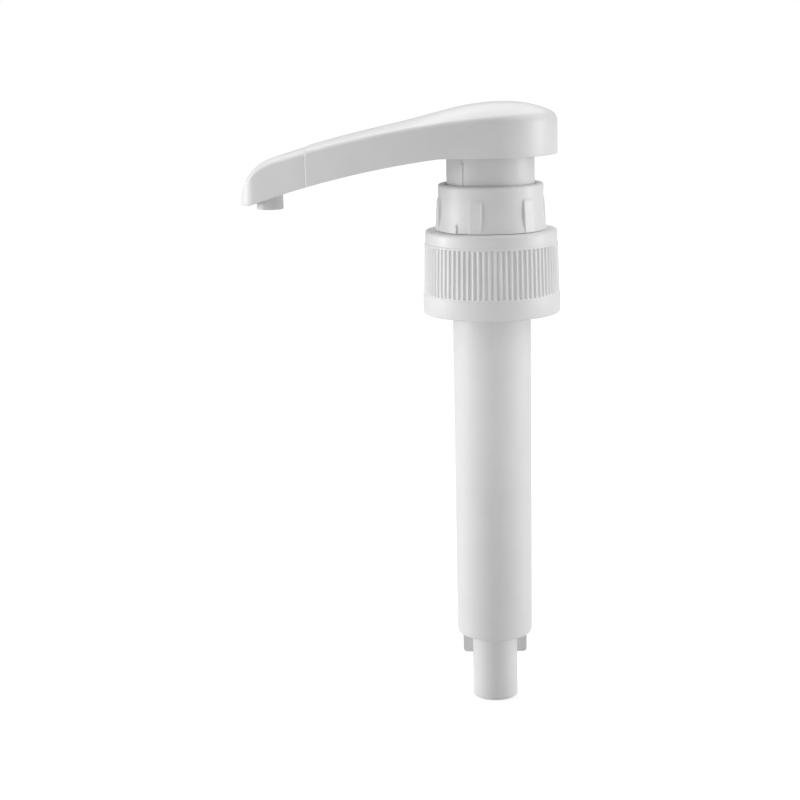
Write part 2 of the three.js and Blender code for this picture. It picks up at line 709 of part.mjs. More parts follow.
// A solid with the hood's shape, its skin inset from the outer one and its floor lowered.
function hoodSolid(inset, floorDrop = 0) {
  const plan = hoodPlan(inset);
  const spineOf = (point) => new THREE.Vector2(THREE.MathUtils.clamp(
    THREE.MathUtils.mapLinear(point.x, plan.sideStartX, plan.sideEndX, 0, NOSE_CENTRE_X),
    NOSE_CENTRE_X,
    0,
  ), 0);
  const ribs = plan.points.map((edge) => {
    const spine = spineOf(edge);
    const at = (share) => spine.clone().lerp(edge, share);
    const roof = (share) => {
      const x = at(share).x;
      return edgeHeight(x, inset) + crownHeight(x) * (1 - share ** ROOF_FALL);
    };
    const lift = (share, z) => new THREE.Vector3(at(share).x, at(share).y, z);
    const fillet = hoodFillet(edge.x, inset);
    const filletShare = 1 - fillet / spine.distanceTo(edge);
    const nearby = 0.02;
    const slope = (roof(filletShare) - roof(filletShare - nearby)) / nearby;
    const corner = roof(filletShare) + slope * (1 - filletShare);
    const turnOver = new THREE.QuadraticBezierCurve3(
      lift(1, corner - fillet),
      lift(1, corner),
      lift(filletShare, roof(filletShare)),
    );
    const roofShares = [0.8, 0.55, 0.3, 0].map((share) => share * filletShare);
    return [
      lift(0, undersideHeight(spine.x) - floorDrop),
      lift(1, undersideHeight(edge.x) - floorDrop),
      ...turnOver.getPoints(2),
      ...roofShares.map((share) => lift(share, roof(share))),
    ];
  });
  const sections = ribs[0].map((_, row) => ribs.map((rib) => rib[row]));
  return solidOf(new LoftGeometry(sections));
}

// A solid along the delivery tube's line, from the pump's axis towards the nose.
function alongTube(radius, fromX, toX, facets = SMALL_ROUND) {
  const start = -fromX / Math.cos(TUBE_SLOPE);
  const end = -toX / Math.cos(TUBE_SLOPE);
  return cylinder(radius, start, end, facets)
    .rotate([0, -90 - TUBE_SLOPE / DEGREE, 0])
    .translate([0, 0, TUBE_HEIGHT_AT_AXIS]);
}

function beyond(x) {
  return block(100, 100, 200, x - 50, 0, 0);
}

const outerHood = hoodSolid(0);
const hoodShell = cut(outerHood, hoodSolid(HOOD_WALL, 4));
const underRoof = hoodSolid(HOOD_WALL / 2, 40);

// The skirt that screws into the collar: plain above, relieved below for its lock thread.
function skirt() {
  const relief = SKIRT_RADIUS - LOCK_THREAD_CREST * 2;
  const reliefTop = COLLAR_TOP - 3;
  const wall = turned([
    [SKIRT_BORE_RADIUS, SKIRT_BOTTOM],
    [relief, SKIRT_BOTTOM, 0.4],
    [relief, reliefTop],
    [SKIRT_RADIUS, reliefTop],
    [SKIRT_RADIUS, CHAMBER_TOP + 5],
    [SKIRT_BORE_RADIUS, CHAMBER_TOP + 5],
  ]);
  const threads = [0.5 * Math.PI, 1.5 * Math.PI].map((phase) => (
    lockThread(relief, LOCK_THREAD_CREST * 2 - RUNNING_GAP, SKIRT_BOTTOM + 1.1, phase)
  ));
  const stopRib = block(1, 1, HUB_UNDERSIDE - COLLAR_TOP, SKIRT_RADIUS - 0.3, 0, 23.4)
    .rotate([0, 0, COLLAR_LUG_ANGLE]);
  return join(wall, ...threads, stopRib);
}

// Webs that brace the skirt against the hub's wall and roof.
function hubWebs() {
  const thickness = 1.2;
  const height = 14;
  const middle = 38;
  const inner = SKIRT_RADIUS - 0.8;
  const outer = HUB_RADIUS + 1;
  return [-58, 2, 62].map((angle) => (
    block(outer - inner, thickness, height, (outer + inner) / 2, 0, middle).rotate([0, 0, angle])
  ));
}

const SEAT_FLANGE_TOP = STEM_TOP + SEAT_GAP + 0.9;
const RING_GROOVE_MIDDLE = STEM_TOP - 3;
const RING_SECTION = 0.55;
const RING_RADIUS = STEM_RADIUS + RUNNING_GAP + RING_SECTION + 0.1;

function headShell() {
  const boss = cylinder(BOSS_RADIUS, BOSS_BOTTOM, CHAMBER_TOP + 5);
  const inside = join(skirt(), boss, ...hubWebs()).intersect(underRoof);
  const socket = cylinder(STEM_RADIUS + SEAT_GAP, BOSS_BOTTOM - 1, SEAT_FLANGE_TOP + SEAT_GAP, SMALL_ROUND);
  const groove = tube(
    RING_RADIUS + RING_SECTION + SEAT_GAP,
    STEM_RADIUS,
    RING_GROOVE_MIDDLE - RING_SECTION - SEAT_GAP,
    RING_GROOVE_MIDDLE + RING_SECTION + SEAT_GAP,
    SMALL_ROUND,
  );
  const chamber = cylinder(CHAMBER_RADIUS, SEAT_FLANGE_TOP, CHAMBER_TOP, SMALL_ROUND);
  const port = alongTube(TUBE_BORE_RADIUS - 0.2, 0, TUBE_START_X - 1);
  const tubeSocket = alongTube(TUBE_RADIUS + FITTED_GAP, TUBE_START_X + FITTED_GAP, -18);
  const whole = join(hoodShell, inside);
  return piece('head_shell', whitePlastic, cut(
    whole,
    socket,
    groove,
    chamber,
    port,
    tubeSocket,
    beyond(TIP_SEAM_X + FITTED_GAP / 2),
  ));
}

// The nose of the hood: a separate cap with a tongue that slides inside the spout.
function spoutNose() {
  const seam = TIP_SEAM_X - FITTED_GAP / 2;
  const tongueWall = 1.0;
  const tongueInset = HOOD_WALL + FITTED_GAP;
  const tongueEnd = TIP_SEAM_X + 4.5;
  const inner = hoodSolid(tongueInset + tongueWall, 4);
  const band = cut(hoodSolid(HOOD_WALL - 0.2), inner, beyond(seam - 2.5));
  const tongue = cut(hoodSolid(tongueInset), inner, beyond(seam - 1));
  const bandOnly = cut(band, block(100, 100, 200, seam + 50, 0, 0));
  const tongueOnly = cut(tongue, block(100, 100, 200, tongueEnd + 50, 0, 0));
  const cap = cut(hoodShell, block(100, 100, 200, seam + 50, 0, 0));
  return piece('spout_nose', whitePlastic, join(cap, bandOnly, tongueOnly));
}

function deliveryTube() {
  const solid = cut(
    alongTube(TUBE_RADIUS, TUBE_START_X, TUBE_END_X),
    alongTube(TUBE_BORE_RADIUS, TUBE_START_X + 1, TUBE_END_X - 1),
  );
  return piece('delivery_tube', naturalPlastic, solid);
}

// An elbow that takes the delivery tube and turns it down through the open nose.
function outletNozzle() {
  const sleeveStart = TUBE_END_X + 3.6;
  const sleeveEnd = TUBE_END_X - 1;
  const wall = 0.65;
  const sleeve = alongTube(TUBE_RADIUS + FITTED_GAP + wall, sleeveStart, sleeveEnd);
  const sleeveBore = alongTube(TUBE_RADIUS + FITTED_GAP, sleeveStart + 1, TUBE_END_X - FITTED_GAP);
  const throat = alongTube(TUBE_BORE_RADIUS, sleeveStart, NOZZLE_X);
  const elbow = solidOf(new THREE.SphereGeometry(ELBOW_RADIUS, 16, 8).translate(NOZZLE_X, 0, ELBOW_HEIGHT));
  const spout = turned([
    [0, NOZZLE_BOTTOM],
    [NOZZLE_RADIUS, NOZZLE_BOTTOM, 0.4],
    [NOZZLE_RADIUS, ELBOW_HEIGHT - 2.6],
    [ELBOW_RADIUS, ELBOW_HEIGHT],
    [0, ELBOW_HEIGHT],
  ], SMALL_ROUND).translate([NOZZLE_X, 0, 0]);
  const bore = cylinder(NOZZLE_BORE_RADIUS, NOZZLE_BOTTOM - 1, ELBOW_HEIGHT, SMALL_ROUND)
    .translate([NOZZLE_X, 0, 0]);
  return piece('outlet_nozzle', whitePlastic, cut(join(sleeve, elbow, spout), sleeveBore, throat, bore));
}

// ---------------------------------------------------------------- discharge valve

const DISCHARGE_PORT_RADIUS = 2.0;
const DISCHARGE_SEAT_BOTTOM = SEAT_FLANGE_TOP - 2.2;
const DISCHARGE_BALL_HEIGHT = ballHeight(
  DISCHARGE_BALL_RADIUS,
  DISCHARGE_PORT_RADIUS,
  DISCHARGE_SEAT_BOTTOM,
);
const BALL_STOP_BOTTOM = DISCHARGE_BALL_HEIGHT + DISCHARGE_BALL_RADIUS + DISCHARGE_LIFT + SEAT_GAP;

function dischargeSeat() {
  const spigot = STEM_BORE_RADIUS - SEAT_GAP;
  return piece('discharge_valve_seat', naturalPlastic, turned([
    [DISCHARGE_PORT_RADIUS, STEM_TOP - 6],
    [spigot, STEM_TOP - 6, 0.4],
    [spigot, STEM_TOP + SEAT_GAP],
    [STEM_RADIUS - 0.1, STEM_TOP + SEAT_GAP],
    [STEM_RADIUS - 0.1, SEAT_FLANGE_TOP],
    [DISCHARGE_PORT_RADIUS + 2.2, SEAT_FLANGE_TOP],
    [DISCHARGE_PORT_RADIUS, DISCHARGE_SEAT_BOTTOM],
  ], SMALL_ROUND));
}

// A ring with a cross bar that stops the discharge ball below the side port.
function ballStop() {
  const outer = CHAMBER_RADIUS - SEAT_GAP;
  const thickness = 1.2;
  const ring = tube(outer, outer - 0.9, BALL_STOP_BOTTOM, BALL_STOP_BOTTOM + thickness, SMALL_ROUND);
  const bars = [0, 90].map((angle) => (
    block(2 * outer - 0.8, 1.2, thickness, 0, 0, BALL_STOP_BOTTOM + thickness / 2).rotate([0, 0, angle])
  ));
  return piece('discharge_ball_stop', naturalPlastic, join(ring, ...bars));
}

function stemSealRing() {
  const ring = new THREE.TorusGeometry(RING_RADIUS, RING_SECTION, 6, SMALL_ROUND);
  return piece('stem_seal_ring', softSeal, solidOf(ring.translate(0, 0, RING_GROOVE_MIDDLE)));
}

// ---------------------------------------------------------------- assembly

// Pieces that stay with the container.
const fixed = new THREE.Group();
fixed.add(barrel(), gasket(), lockingCollar(), stemGuide(), stemWiper(), inletCage());
fixed.add(ball('inlet_ball', INLET_BALL_RADIUS, INLET_BALL_HEIGHT), returnSpring(), closure());

// Pieces that rise and sink with the head.
const plunger = new THREE.Group();
plunger.add(pistonCup(), pistonRetainer(), stem(), stemSealRing(), dischargeSeat(), ballStop());
plunger.add(ball('discharge_ball', DISCHARGE_BALL_RADIUS, DISCHARGE_BALL_HEIGHT));
plunger.add(headShell(), spoutNose(), deliveryTube(), outletNozzle());

const pump = new THREE.Group();
pump.userData.stroke = STROKE;
pump.add(fixed, plunger);

export default pump;
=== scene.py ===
"""Looks of a condiment pump dispenser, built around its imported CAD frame.

The origin is on the pump's axis at the sealing face of the container's neck, +Z is up and the
spout points along -X. Shapes are written in millimetres, and solid() turns them into metres.
"""

import math

import bmesh
import bpy
from mathutils import Matrix, Vector


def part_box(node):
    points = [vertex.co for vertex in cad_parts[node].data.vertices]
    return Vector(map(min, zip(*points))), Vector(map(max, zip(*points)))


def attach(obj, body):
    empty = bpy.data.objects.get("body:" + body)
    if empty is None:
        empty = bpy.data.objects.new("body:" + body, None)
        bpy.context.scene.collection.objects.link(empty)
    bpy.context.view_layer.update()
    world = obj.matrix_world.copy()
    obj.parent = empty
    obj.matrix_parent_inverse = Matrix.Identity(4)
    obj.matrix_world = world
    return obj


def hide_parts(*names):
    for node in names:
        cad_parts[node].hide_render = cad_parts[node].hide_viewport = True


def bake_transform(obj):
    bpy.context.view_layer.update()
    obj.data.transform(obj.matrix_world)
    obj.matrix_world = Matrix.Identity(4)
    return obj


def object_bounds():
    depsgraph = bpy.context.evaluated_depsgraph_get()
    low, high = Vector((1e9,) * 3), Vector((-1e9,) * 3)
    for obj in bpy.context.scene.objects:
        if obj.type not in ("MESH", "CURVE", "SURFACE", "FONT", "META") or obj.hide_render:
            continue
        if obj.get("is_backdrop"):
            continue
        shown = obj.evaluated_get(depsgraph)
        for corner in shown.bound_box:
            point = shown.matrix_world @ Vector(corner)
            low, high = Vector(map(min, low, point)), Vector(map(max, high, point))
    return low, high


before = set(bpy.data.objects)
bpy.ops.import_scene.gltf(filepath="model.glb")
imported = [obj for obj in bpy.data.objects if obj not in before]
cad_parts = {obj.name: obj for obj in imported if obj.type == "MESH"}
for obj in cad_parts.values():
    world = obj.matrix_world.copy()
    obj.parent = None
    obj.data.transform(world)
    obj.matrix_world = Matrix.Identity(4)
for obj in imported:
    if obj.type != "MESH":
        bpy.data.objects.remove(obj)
cad_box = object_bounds()

# ---------------------------------------------------------------- dimensions, in millimetres

MM = 0.001
FACETS = 128
SOFT_EDGE = 0.15  # rounding of an ordinary moulded corner

BARREL_TOP_RADIUS = 12.05
BARREL_BOTTOM_RADIUS = 11.8
BARREL_BOTTOM = -124.0
BORE_RADIUS = 10.5
BORE_FLOOR = -120.5
FLANGE_RADIUS = 18.2
FLANGE_BOTTOM = 1.1
FLANGE_TOP = 2.6
BARREL_NECK_RADIUS = 13.2
BARREL_NECK_TOP = 8.1
SOCKET_RADIUS = 7.1
SOCKET_BORE_RADIUS = 5.25
SOCKET_BOTTOM = -145.1
SOCKET_BORE_TOP = -127.0
FIN_REACH = 10.15
FIN_BOTTOM = -131.0
FIN_THICKNESS = 2.0
INLET_PORT_RADIUS = 2.5
VENT_RADIUS = 0.9
VENT_HEIGHT = -7.0
GASKET_HOLE_RADIUS = 12.4

STEM_RADIUS = 6.0
STEM_BORE_RADIUS = 4.2
STEM_BOTTOM = -101.0
STEM_TOP = 24.0
SHOULDER_RADIUS = 8.6
SHOULDER_BOTTOM = -91.1
SHOULDER_TOP = -88.5

SPRING_RADIUS = 8.3
SPRING_WIRE_RADIUS = 0.65
SPRING_TURNS = 9

CLOSURE_TOP = 4.6
CLOSURE_BOTTOM = -20.8
CLOSURE_PANEL = 1.7
CLOSURE_HOLE_RADIUS = 13.8
CLOSURE_INNER_RADIUS = 19.0
TOP_BAND_RADIUS = 20.15
BOTTOM_BAND_RADIUS = 21.0
KNURL_TOP = 0.55
KNURL_BOTTOM = -14.8
KNURL_TOP_RADIUS = 20.4
KNURL_BOTTOM_RADIUS = 20.85
KNURL_DEPTH = 0.5
KNURL_COUNT = 78
NECK_THREAD_PITCH = 4.233
NECK_THREAD_CREST_RADIUS = 17.95
NECK_THREAD_WIDTH = 2.4
NECK_THREAD_TURNS = 1.6
NECK_THREAD_BOTTOM = -11.5

COLLAR_BOTTOM = 4.9
COLLAR_FOOT = 4.72  # the lip that shows reaches a little below the CAD's bottom
COLLAR_TOP = 18.6
COLLAR_BASE_RADIUS = 16.95
COLLAR_WAIST_RADIUS = 15.9
COLLAR_WAIST_HEIGHT = 4.5  # above the collar's bottom
COLLAR_TOP_RADIUS = 16.05
COLLAR_BORE_RADIUS = 13.9
COLLAR_FLOOR = 8.4
COLLAR_FLOOR_TOP = 9.8
COLLAR_RIB_TOP = 15.0
COLLAR_RIB_HALF = 2.0
COLLAR_RIB_SPACING = 60  # degrees
COLLAR_RIB_PROUD = 0.3  # how far a rib's top stands out from the collar's top radius
COLLAR_RIB_PHASE = 12.7  # degrees from +X to the middle of the first rib
LUG_ANGLE = -130  # degrees, of the collar's lug and the skirt's stop rib

HUB_RADIUS = 20.3
HUB_TANGENT = 92  # degrees from +X where the hub's circle runs into the spout's side
HUB_UNDERSIDE = 27.3
NOSE_RADIUS = 6.8
NOSE_CENTRE_X = -69.6
NOSE_TANGENT = 107
NOSE_UNDERSIDE = 13.1
NOSE_ROLL_START = -67.0
EDGE_HEIGHT = 38.85
EDGE_SLOPE = 0.0565
EDGE_DROOP = 0.002
SPOUT_DEPTH = 10.05
SPOUT_DEPTH_GROWTH = 0.01
HOOD_WALL = 1.4
SIDE_FILLET = 1.3  # along the hood's top edge
BACK_FILLET = 2.7  # behind the hub
SMALLEST_FILLET = 0.4  # inside the hood
SPOUT_CROWN = 1.15
DOME_CROWN = 2.85
DOME_LENGTH = 19.5
DOME_FALL = 2.2
ROOF_FALL = 2.5
SIDE_HANDLE = 0.36  # how firmly the spout's side holds its direction at each end
TIP_SEAM_X = -55.5
SEAM_GAP = 0.3
SEAM_STEP = 0.2  # how far the nose cap's skin lies below the spout's
SEAM_OPENING = 0.05  # the gap that shows between the two
SEAM_BEVEL = 0.28  # on the spout's end

SKIRT_RADIUS = 13.4
SKIRT_BORE_RADIUS = 11.9
SKIRT_BOTTOM = 10.1
SKIRT_RELIEF = 0.6
SKIRT_RELIEF_TOP = 15.6
BOSS_RADIUS = 8.8
BOSS_BOTTOM = 12.0
CHAMBER_RADIUS = 4.65
CHAMBER_BOTTOM = 25.0
CHAMBER_TOP = 38.2
LOCK_THREAD_LEAD = 8.0
LOCK_THREAD_WIDTH = 1.4
LOCK_THREAD_TURNS = 0.4
ABOVE_ROOF = 60.0  # where pieces end before the roof cuts them off

TUBE_RADIUS = 3.5
TUBE_BORE_RADIUS = 2.7
TUBE_HEIGHT_AT_AXIS = 35.6
TUBE_SLOPE = math.radians(12.26)
TUBE_START_X = -5.8
TUBE_END_X = -63.2
TUBE_SOCKET_END_X = -18.0  # beyond the skirt's wall, which the tube passes through
NOZZLE_X = -67.3
NOZZLE_RADIUS = 4.1
NOZZLE_BORE_RADIUS = 3.0
NOZZLE_BOTTOM = 11.7
ELBOW_RADIUS = 4.15
ELBOW_HEIGHT = 19.5


# ---------------------------------------------------------------- mesh helpers


WELD_DISTANCE = 0.002 * MM
SPECK_LENGTH = 0.0005 * MM
SHARP_ANGLE = math.radians(32)


def tidy_mesh(mesh):
    """Welds shared corners, drops specks, faces outwards and keeps only true edges sharp."""
    shape = bmesh.new()
    shape.from_mesh(mesh)
    bmesh.ops.remove_doubles(shape, verts=shape.verts, dist=WELD_DISTANCE)
    bmesh.ops.dissolve_degenerate(shape, edges=shape.edges, dist=SPECK_LENGTH)
    loose = [edge for edge in shape.edges if not edge.link_faces]
    bmesh.ops.delete(shape, geom=loose, context="EDGES")
    bmesh.ops.recalc_face_normals(shape, faces=shape.faces)
    for face in shape.faces:
        face.smooth = True
    for edge in shape.edges:
        edge.smooth = edge.calc_face_angle(math.pi) < SHARP_ANGLE
    shape.to_mesh(mesh)
    shape.free()


def solid(name, points, faces):
    """A closed mesh object from points in millimetres."""
    mesh = bpy.data.meshes.new(name)
    mesh.from_pydata([Vector(point) * MM for point in points], [], faces)
    tidy_mesh(mesh)
    made = bpy.data.objects.new(name, mesh)
    bpy.context.scene.collection.objects.link(made)
    return made


def combine(target, tool, operation):
    """Joins, cuts or intersects target with tool, and drops tool."""
    modifier = target.modifiers.new("combine", "BOOLEAN")
    modifier.operation = operation
    modifier.solver = "EXACT"
    modifier.object = tool
    result = bpy.data.meshes.new_from_object(
        target.evaluated_get(bpy.context.evaluated_depsgraph_get())
    )
    target.modifiers.clear()
    target.data = result
    bpy.data.objects.remove(tool)
    return target


def join(target, *tools):
    for tool in tools:
        combine(target, tool, "UNION")
    return target


def cut(target, *tools):
    for tool in tools:
        combine(target, tool, "DIFFERENCE")
    return target


def moved(piece, matrix):
    piece.data.transform(matrix)
    return piece


def shifted(x, y, z):
    return Matrix.Translation(Vector((x, y, z)) * MM)


def curve_points(start, control, end, steps):
    """Points of a quadratic curve, both ends included."""
    start, control, end = Vector(start), Vector(control), Vector(end)
    shares = [i / steps for i in range(steps + 1)]
    return [start * (1 - t) ** 2 + control * 2 * t * (1 - t) + end * t * t for t in shares]


def rounded(corners, soft=SOFT_EDGE):
    """Rounds an outline's corners, apart from those on the axis.

    A corner is (x, y), or (x, y, setback) for a rounding of its own.
    """
    largest_share = 0.45  # of a side, that one corner's rounding may take up
    steps = 5
    points = []
    for i, corner in enumerate(corners):
        here = Vector(corner[:2])
        before = Vector(corners[i - 1][:2]) - here
        after = Vector(corners[(i + 1) % len(corners)][:2]) - here
        setback = corner[2] if len(corner) == 3 else soft
        setback = min(setback, largest_share * before.length, largest_share * after.length)
        if setback == 0 or here.x == 0:
            points.append(here)
            continue
        start = here + before.normalized() * setback
        end = here + after.normalized() * setback
        points += curve_points(start, here, end, steps)
    return points


def with_steps(outline, longest):
    """The same closed outline with no side longer than that."""
    points = []
    for i, here in enumerate(outline):
        after = outline[(i + 1) % len(outline)]
        count = max(1, math.ceil((after - here).length / longest))
        points += [here.lerp(after, k / count) for k in range(count)]
    return points


def turned(name, outline, angles=None, adjust=None):
    """Turns a closed outline of (radius, height) about the pump's axis.

    adjust(angle, radius, height) may give a point another radius, for ribs and knurls.
    """
    angles = angles or [math.tau * i / FACETS for i in range(FACETS)]
    points = []
    for angle in angles:
        for radius, height in outline:
            if adjust:
                radius = adjust(angle, radius, height)
            points.append((radius * math.cos(angle), radius * math.sin(angle), height))
    rows, columns = len(outline), len(angles)
    faces = []
    for i in range(columns):
        j = (i + 1) % columns
        for k in range(rows):
            m = (k + 1) % rows
            faces.append((i * rows + k, j * rows + k, j * rows + m, i * rows + m))
    return solid(name, points, faces)


def lofted(name, rings):
    """A closed skin over a row of equal closed rings, flat at both ends."""
    size = len(rings[0])
    points = [point for ring in rings for point in ring]
    faces = [tuple(range(size)), tuple(range(len(points) - size, len(points)))]
    for i in range(len(rings) - 1):
        for k in range(size):
            m = (k + 1) % size
            faces.append((i * size + k, i * size + m, (i + 1) * size + m, (i + 1) * size + k))
    return solid(name, points, faces)


def block(name, width, depth, height, x, y, z):
    corners = [(-1, -1), (1, -1), (1, 1), (-1, 1)]
    rings = [
        [(x + sx * width / 2, y + sy * depth / 2, z + side * height / 2) for sx, sy in corners]
        for side in (-1, 1)
    ]
    return lofted(name, rings)


def thread_ridge(name, root, height, width, lead, turns, bottom, phase=0.0):
    """A helical ridge with a rounded crest on a wall of radius root.

    With a negative height it stands inwards. It tapers off over an eighth of a turn at both ends.
    """
    steps_per_turn = 72
    side = math.copysign(1, height)
    count = round(turns * steps_per_turn)
    run_out = steps_per_turn / 8
    # Shares of the height and of the width, from the foot inside the wall to the crest.
    flank = [(-0.3, 0.5), (0.0, 0.5), (0.75, 0.28), (1.0, 0.12)]
    profile = flank + [(share, -offset) for share, offset in reversed(flank)]
    rings = []
    for i in range(count + 1):
        angle = phase + math.tau * i / steps_per_turn
        middle = bottom + lead * i / steps_per_turn
        ramp = min(1, (i + 0.5) / run_out, (count - i + 0.5) / run_out)
        ring = []
        for share, offset in profile:
            rise = share * abs(height) * (ramp if share > 0 else 1)
            radius = root + side * rise
            z = middle + side * offset * width
            ring.append((radius * math.cos(angle), radius * math.sin(angle), z))
        rings.append(ring)
    return lofted(name, rings)


# ---------------------------------------------------------------- barrel


def barrel_fin(side):
    """One wall of the cross fin, sunk a little into the dip tube socket and the barrel's end."""
    inner = side * (SOCKET_RADIUS - 0.9)
    outer = side * FIN_REACH
    top = BARREL_BOTTOM + 0.5
    outline = rounded([(inner, top, 0), (inner, FIN_BOTTOM, 0), (outer, FIN_BOTTOM, 1.5), (outer, top, 0)])
    half = FIN_THICKNESS / 2
    bevel = 0.25
    middle = Vector(((inner + outer) / 2, (BARREL_BOTTOM + FIN_BOTTOM) / 2))
    rings = []
    for y, inset in ((-half, bevel), (-half + bevel, 0), (half - bevel, 0), (half, bevel)):
        ring = []
        for point in outline:
            shrunk = point + (middle - point).normalized() * inset
            ring.append((shrunk.x, y, shrunk.y))
        rings.append(ring)
    return lofted("fin", rings)


def vent_drill():
    """A bar across the barrel's wall that opens its small vent, under the closure."""
    inner, outer = BORE_RADIUS - 2, 14
    corners = [(0, inner), (VENT_RADIUS, inner), (VENT_RADIUS, outer), (0, outer)]
    bar = turned("drill", [Vector(corner) for corner in corners])
    return moved(bar, shifted(0, 0, VENT_HEIGHT) @ Matrix.Rotation(math.radians(90), 4, "X"))


def pump_barrel():
    bead = BARREL_NECK_RADIUS + 0.3
    funnel = 4.5  # width and depth of the cone that leads down to the inlet port
    barrel = turned("Pump_barrel", rounded([
        (SOCKET_BORE_RADIUS, SOCKET_BOTTOM, 0.3),
        (SOCKET_RADIUS, SOCKET_BOTTOM, 0.7),
        (SOCKET_RADIUS, BARREL_BOTTOM, 0.6),
        (BARREL_BOTTOM_RADIUS, BARREL_BOTTOM, 1.3),
        (BARREL_TOP_RADIUS, FLANGE_BOTTOM, 0.5),
        (FLANGE_RADIUS, FLANGE_BOTTOM),
        (FLANGE_RADIUS, FLANGE_TOP),
        (BARREL_NECK_RADIUS, FLANGE_TOP),
        (BARREL_NECK_RADIUS, BARREL_NECK_TOP - 1.9),
        (bead, BARREL_NECK_TOP - 1.2),
        (BARREL_NECK_RADIUS, BARREL_NECK_TOP),
        (BORE_RADIUS, BARREL_NECK_TOP),
        (BORE_RADIUS, BORE_FLOOR),
        (INLET_PORT_RADIUS + funnel, BORE_FLOOR),
        (INLET_PORT_RADIUS, BORE_FLOOR - funnel),
        (INLET_PORT_RADIUS, SOCKET_BORE_TOP),
        (SOCKET_BORE_RADIUS, SOCKET_BORE_TOP),
    ]))
    join(barrel, barrel_fin(-1), barrel_fin(1))
    return cut(barrel, vent_drill())


# ---------------------------------------------------------------- closure


def knurl_angles():
    """Angles around the closure, twelve for each rib of its belt."""
    count = 12 * KNURL_COUNT
    return [math.tau * (i + 0.5) / count for i in range(count)]


def smooth_step(low, high, value):
    """Rises smoothly from 0 at low to 1 at high."""
    share = min(1, max(0, (value - low) / (high - low)))
    return share * share * (3 - 2 * share)


def knurled(angle, radius, height):
    """Sinks the grooves between the round ribs into the closure's belt.

    Across the belt, 0 is the middle of a rib and 0.5 the middle of a groove.
    """
    if radius < CLOSURE_INNER_RADIUS + 0.5:
        return radius
    groove_start, groove_floor, narrowing = 0.05, 0.4, 0.16
    across = abs((angle * KNURL_COUNT / math.tau + 0.5) % 1 - 0.5)
    narrow = narrowing * (1 - end_room(height))
    groove = smooth_step(groove_start + narrow, groove_floor + narrow, across)
    return radius - KNURL_DEPTH * groove * end_room(height)


def end_room(height):
    """1 along the belt, falling to 0 at its two ends as the grooves run out."""
    margin, run_out = 0.1, 0.7
    below_top = smooth_step(0, run_out, KNURL_TOP - margin - height)
    above_bottom = smooth_step(0, run_out, height - KNURL_BOTTOM - margin)
    return below_top * above_bottom


def with_belt_rows(outline):
    """The same closed outline with more points on the belt's two ends, where the grooves run out."""
    from_end = (0.1, 0.25, 0.4, 0.55, 0.7, 0.85, 1.1)
    heights = [KNURL_BOTTOM + step for step in from_end]
    heights += [KNURL_TOP - step for step in reversed(from_end[1:])]
    points = []
    for i, here in enumerate(outline):
        after = outline[(i + 1) % len(outline)]
        points.append(here)
        if here.y < KNURL_BOTTOM + 0.5 and after.y > KNURL_TOP - 0.5:
            between = [z for z in heights if here.y < z < after.y]
            points += [here.lerp(after, (z - here.y) / (after.y - here.y)) for z in between]
    return points


def closure():
    panel_bottom = CLOSURE_TOP - CLOSURE_PANEL
    outline = rounded([
        (CLOSURE_INNER_RADIUS, CLOSURE_BOTTOM, 0.3),
        (BOTTOM_BAND_RADIUS, CLOSURE_BOTTOM, 0.6),
        (BOTTOM_BAND_RADIUS, KNURL_BOTTOM - 0.12, 0.1),
        (KNURL_BOTTOM_RADIUS, KNURL_BOTTOM, 0.1),
        (KNURL_TOP_RADIUS, KNURL_TOP, 0.2),
        (TOP_BAND_RADIUS, KNURL_TOP + 0.35, 0.15),
        (TOP_BAND_RADIUS, CLOSURE_TOP, 1.1),
        (CLOSURE_HOLE_RADIUS, CLOSURE_TOP, 0.3),
        (CLOSURE_HOLE_RADIUS, panel_bottom),
        (CLOSURE_INNER_RADIUS, panel_bottom, 0.4),
    ])
    ring = turned("Closure", with_belt_rows(outline), knurl_angles(), knurled)
    thread = thread_ridge(
        "thread",
        root=CLOSURE_INNER_RADIUS,
        height=NECK_THREAD_CREST_RADIUS - CLOSURE_INNER_RADIUS,
        width=NECK_THREAD_WIDTH,
        lead=NECK_THREAD_PITCH,
        turns=NECK_THREAD_TURNS,
        bottom=NECK_THREAD_BOTTOM,
    )
    return join(ring, thread)


# ---------------------------------------------------------------- locking collar


def angles_near(middle, reach, step):
    """Angles in degrees, a step apart, as far as reach on both sides of the middle."""
    count = round(reach / step)
    return {middle + i * step for i in range(-count, count + 1)}


def collar_angles():
    """Angles around the collar, closer together at the sides of each rib and at the lug."""
    half = math.degrees(COLLAR_RIB_HALF / COLLAR_BASE_RADIUS)
    angles = {i * 360 / FACETS for i in range(FACETS)}
    for turn in range(0, 360, COLLAR_RIB_SPACING):
        for side in (-half, half):
            angles |= angles_near(COLLAR_RIB_PHASE + turn + side, reach=1, step=0.125)
    angles |= angles_near(LUG_ANGLE, reach=3.5, step=0.25)
    ordered = sorted({round(angle % 360, 4) for angle in angles})
    return [math.radians(angle) for angle in ordered]


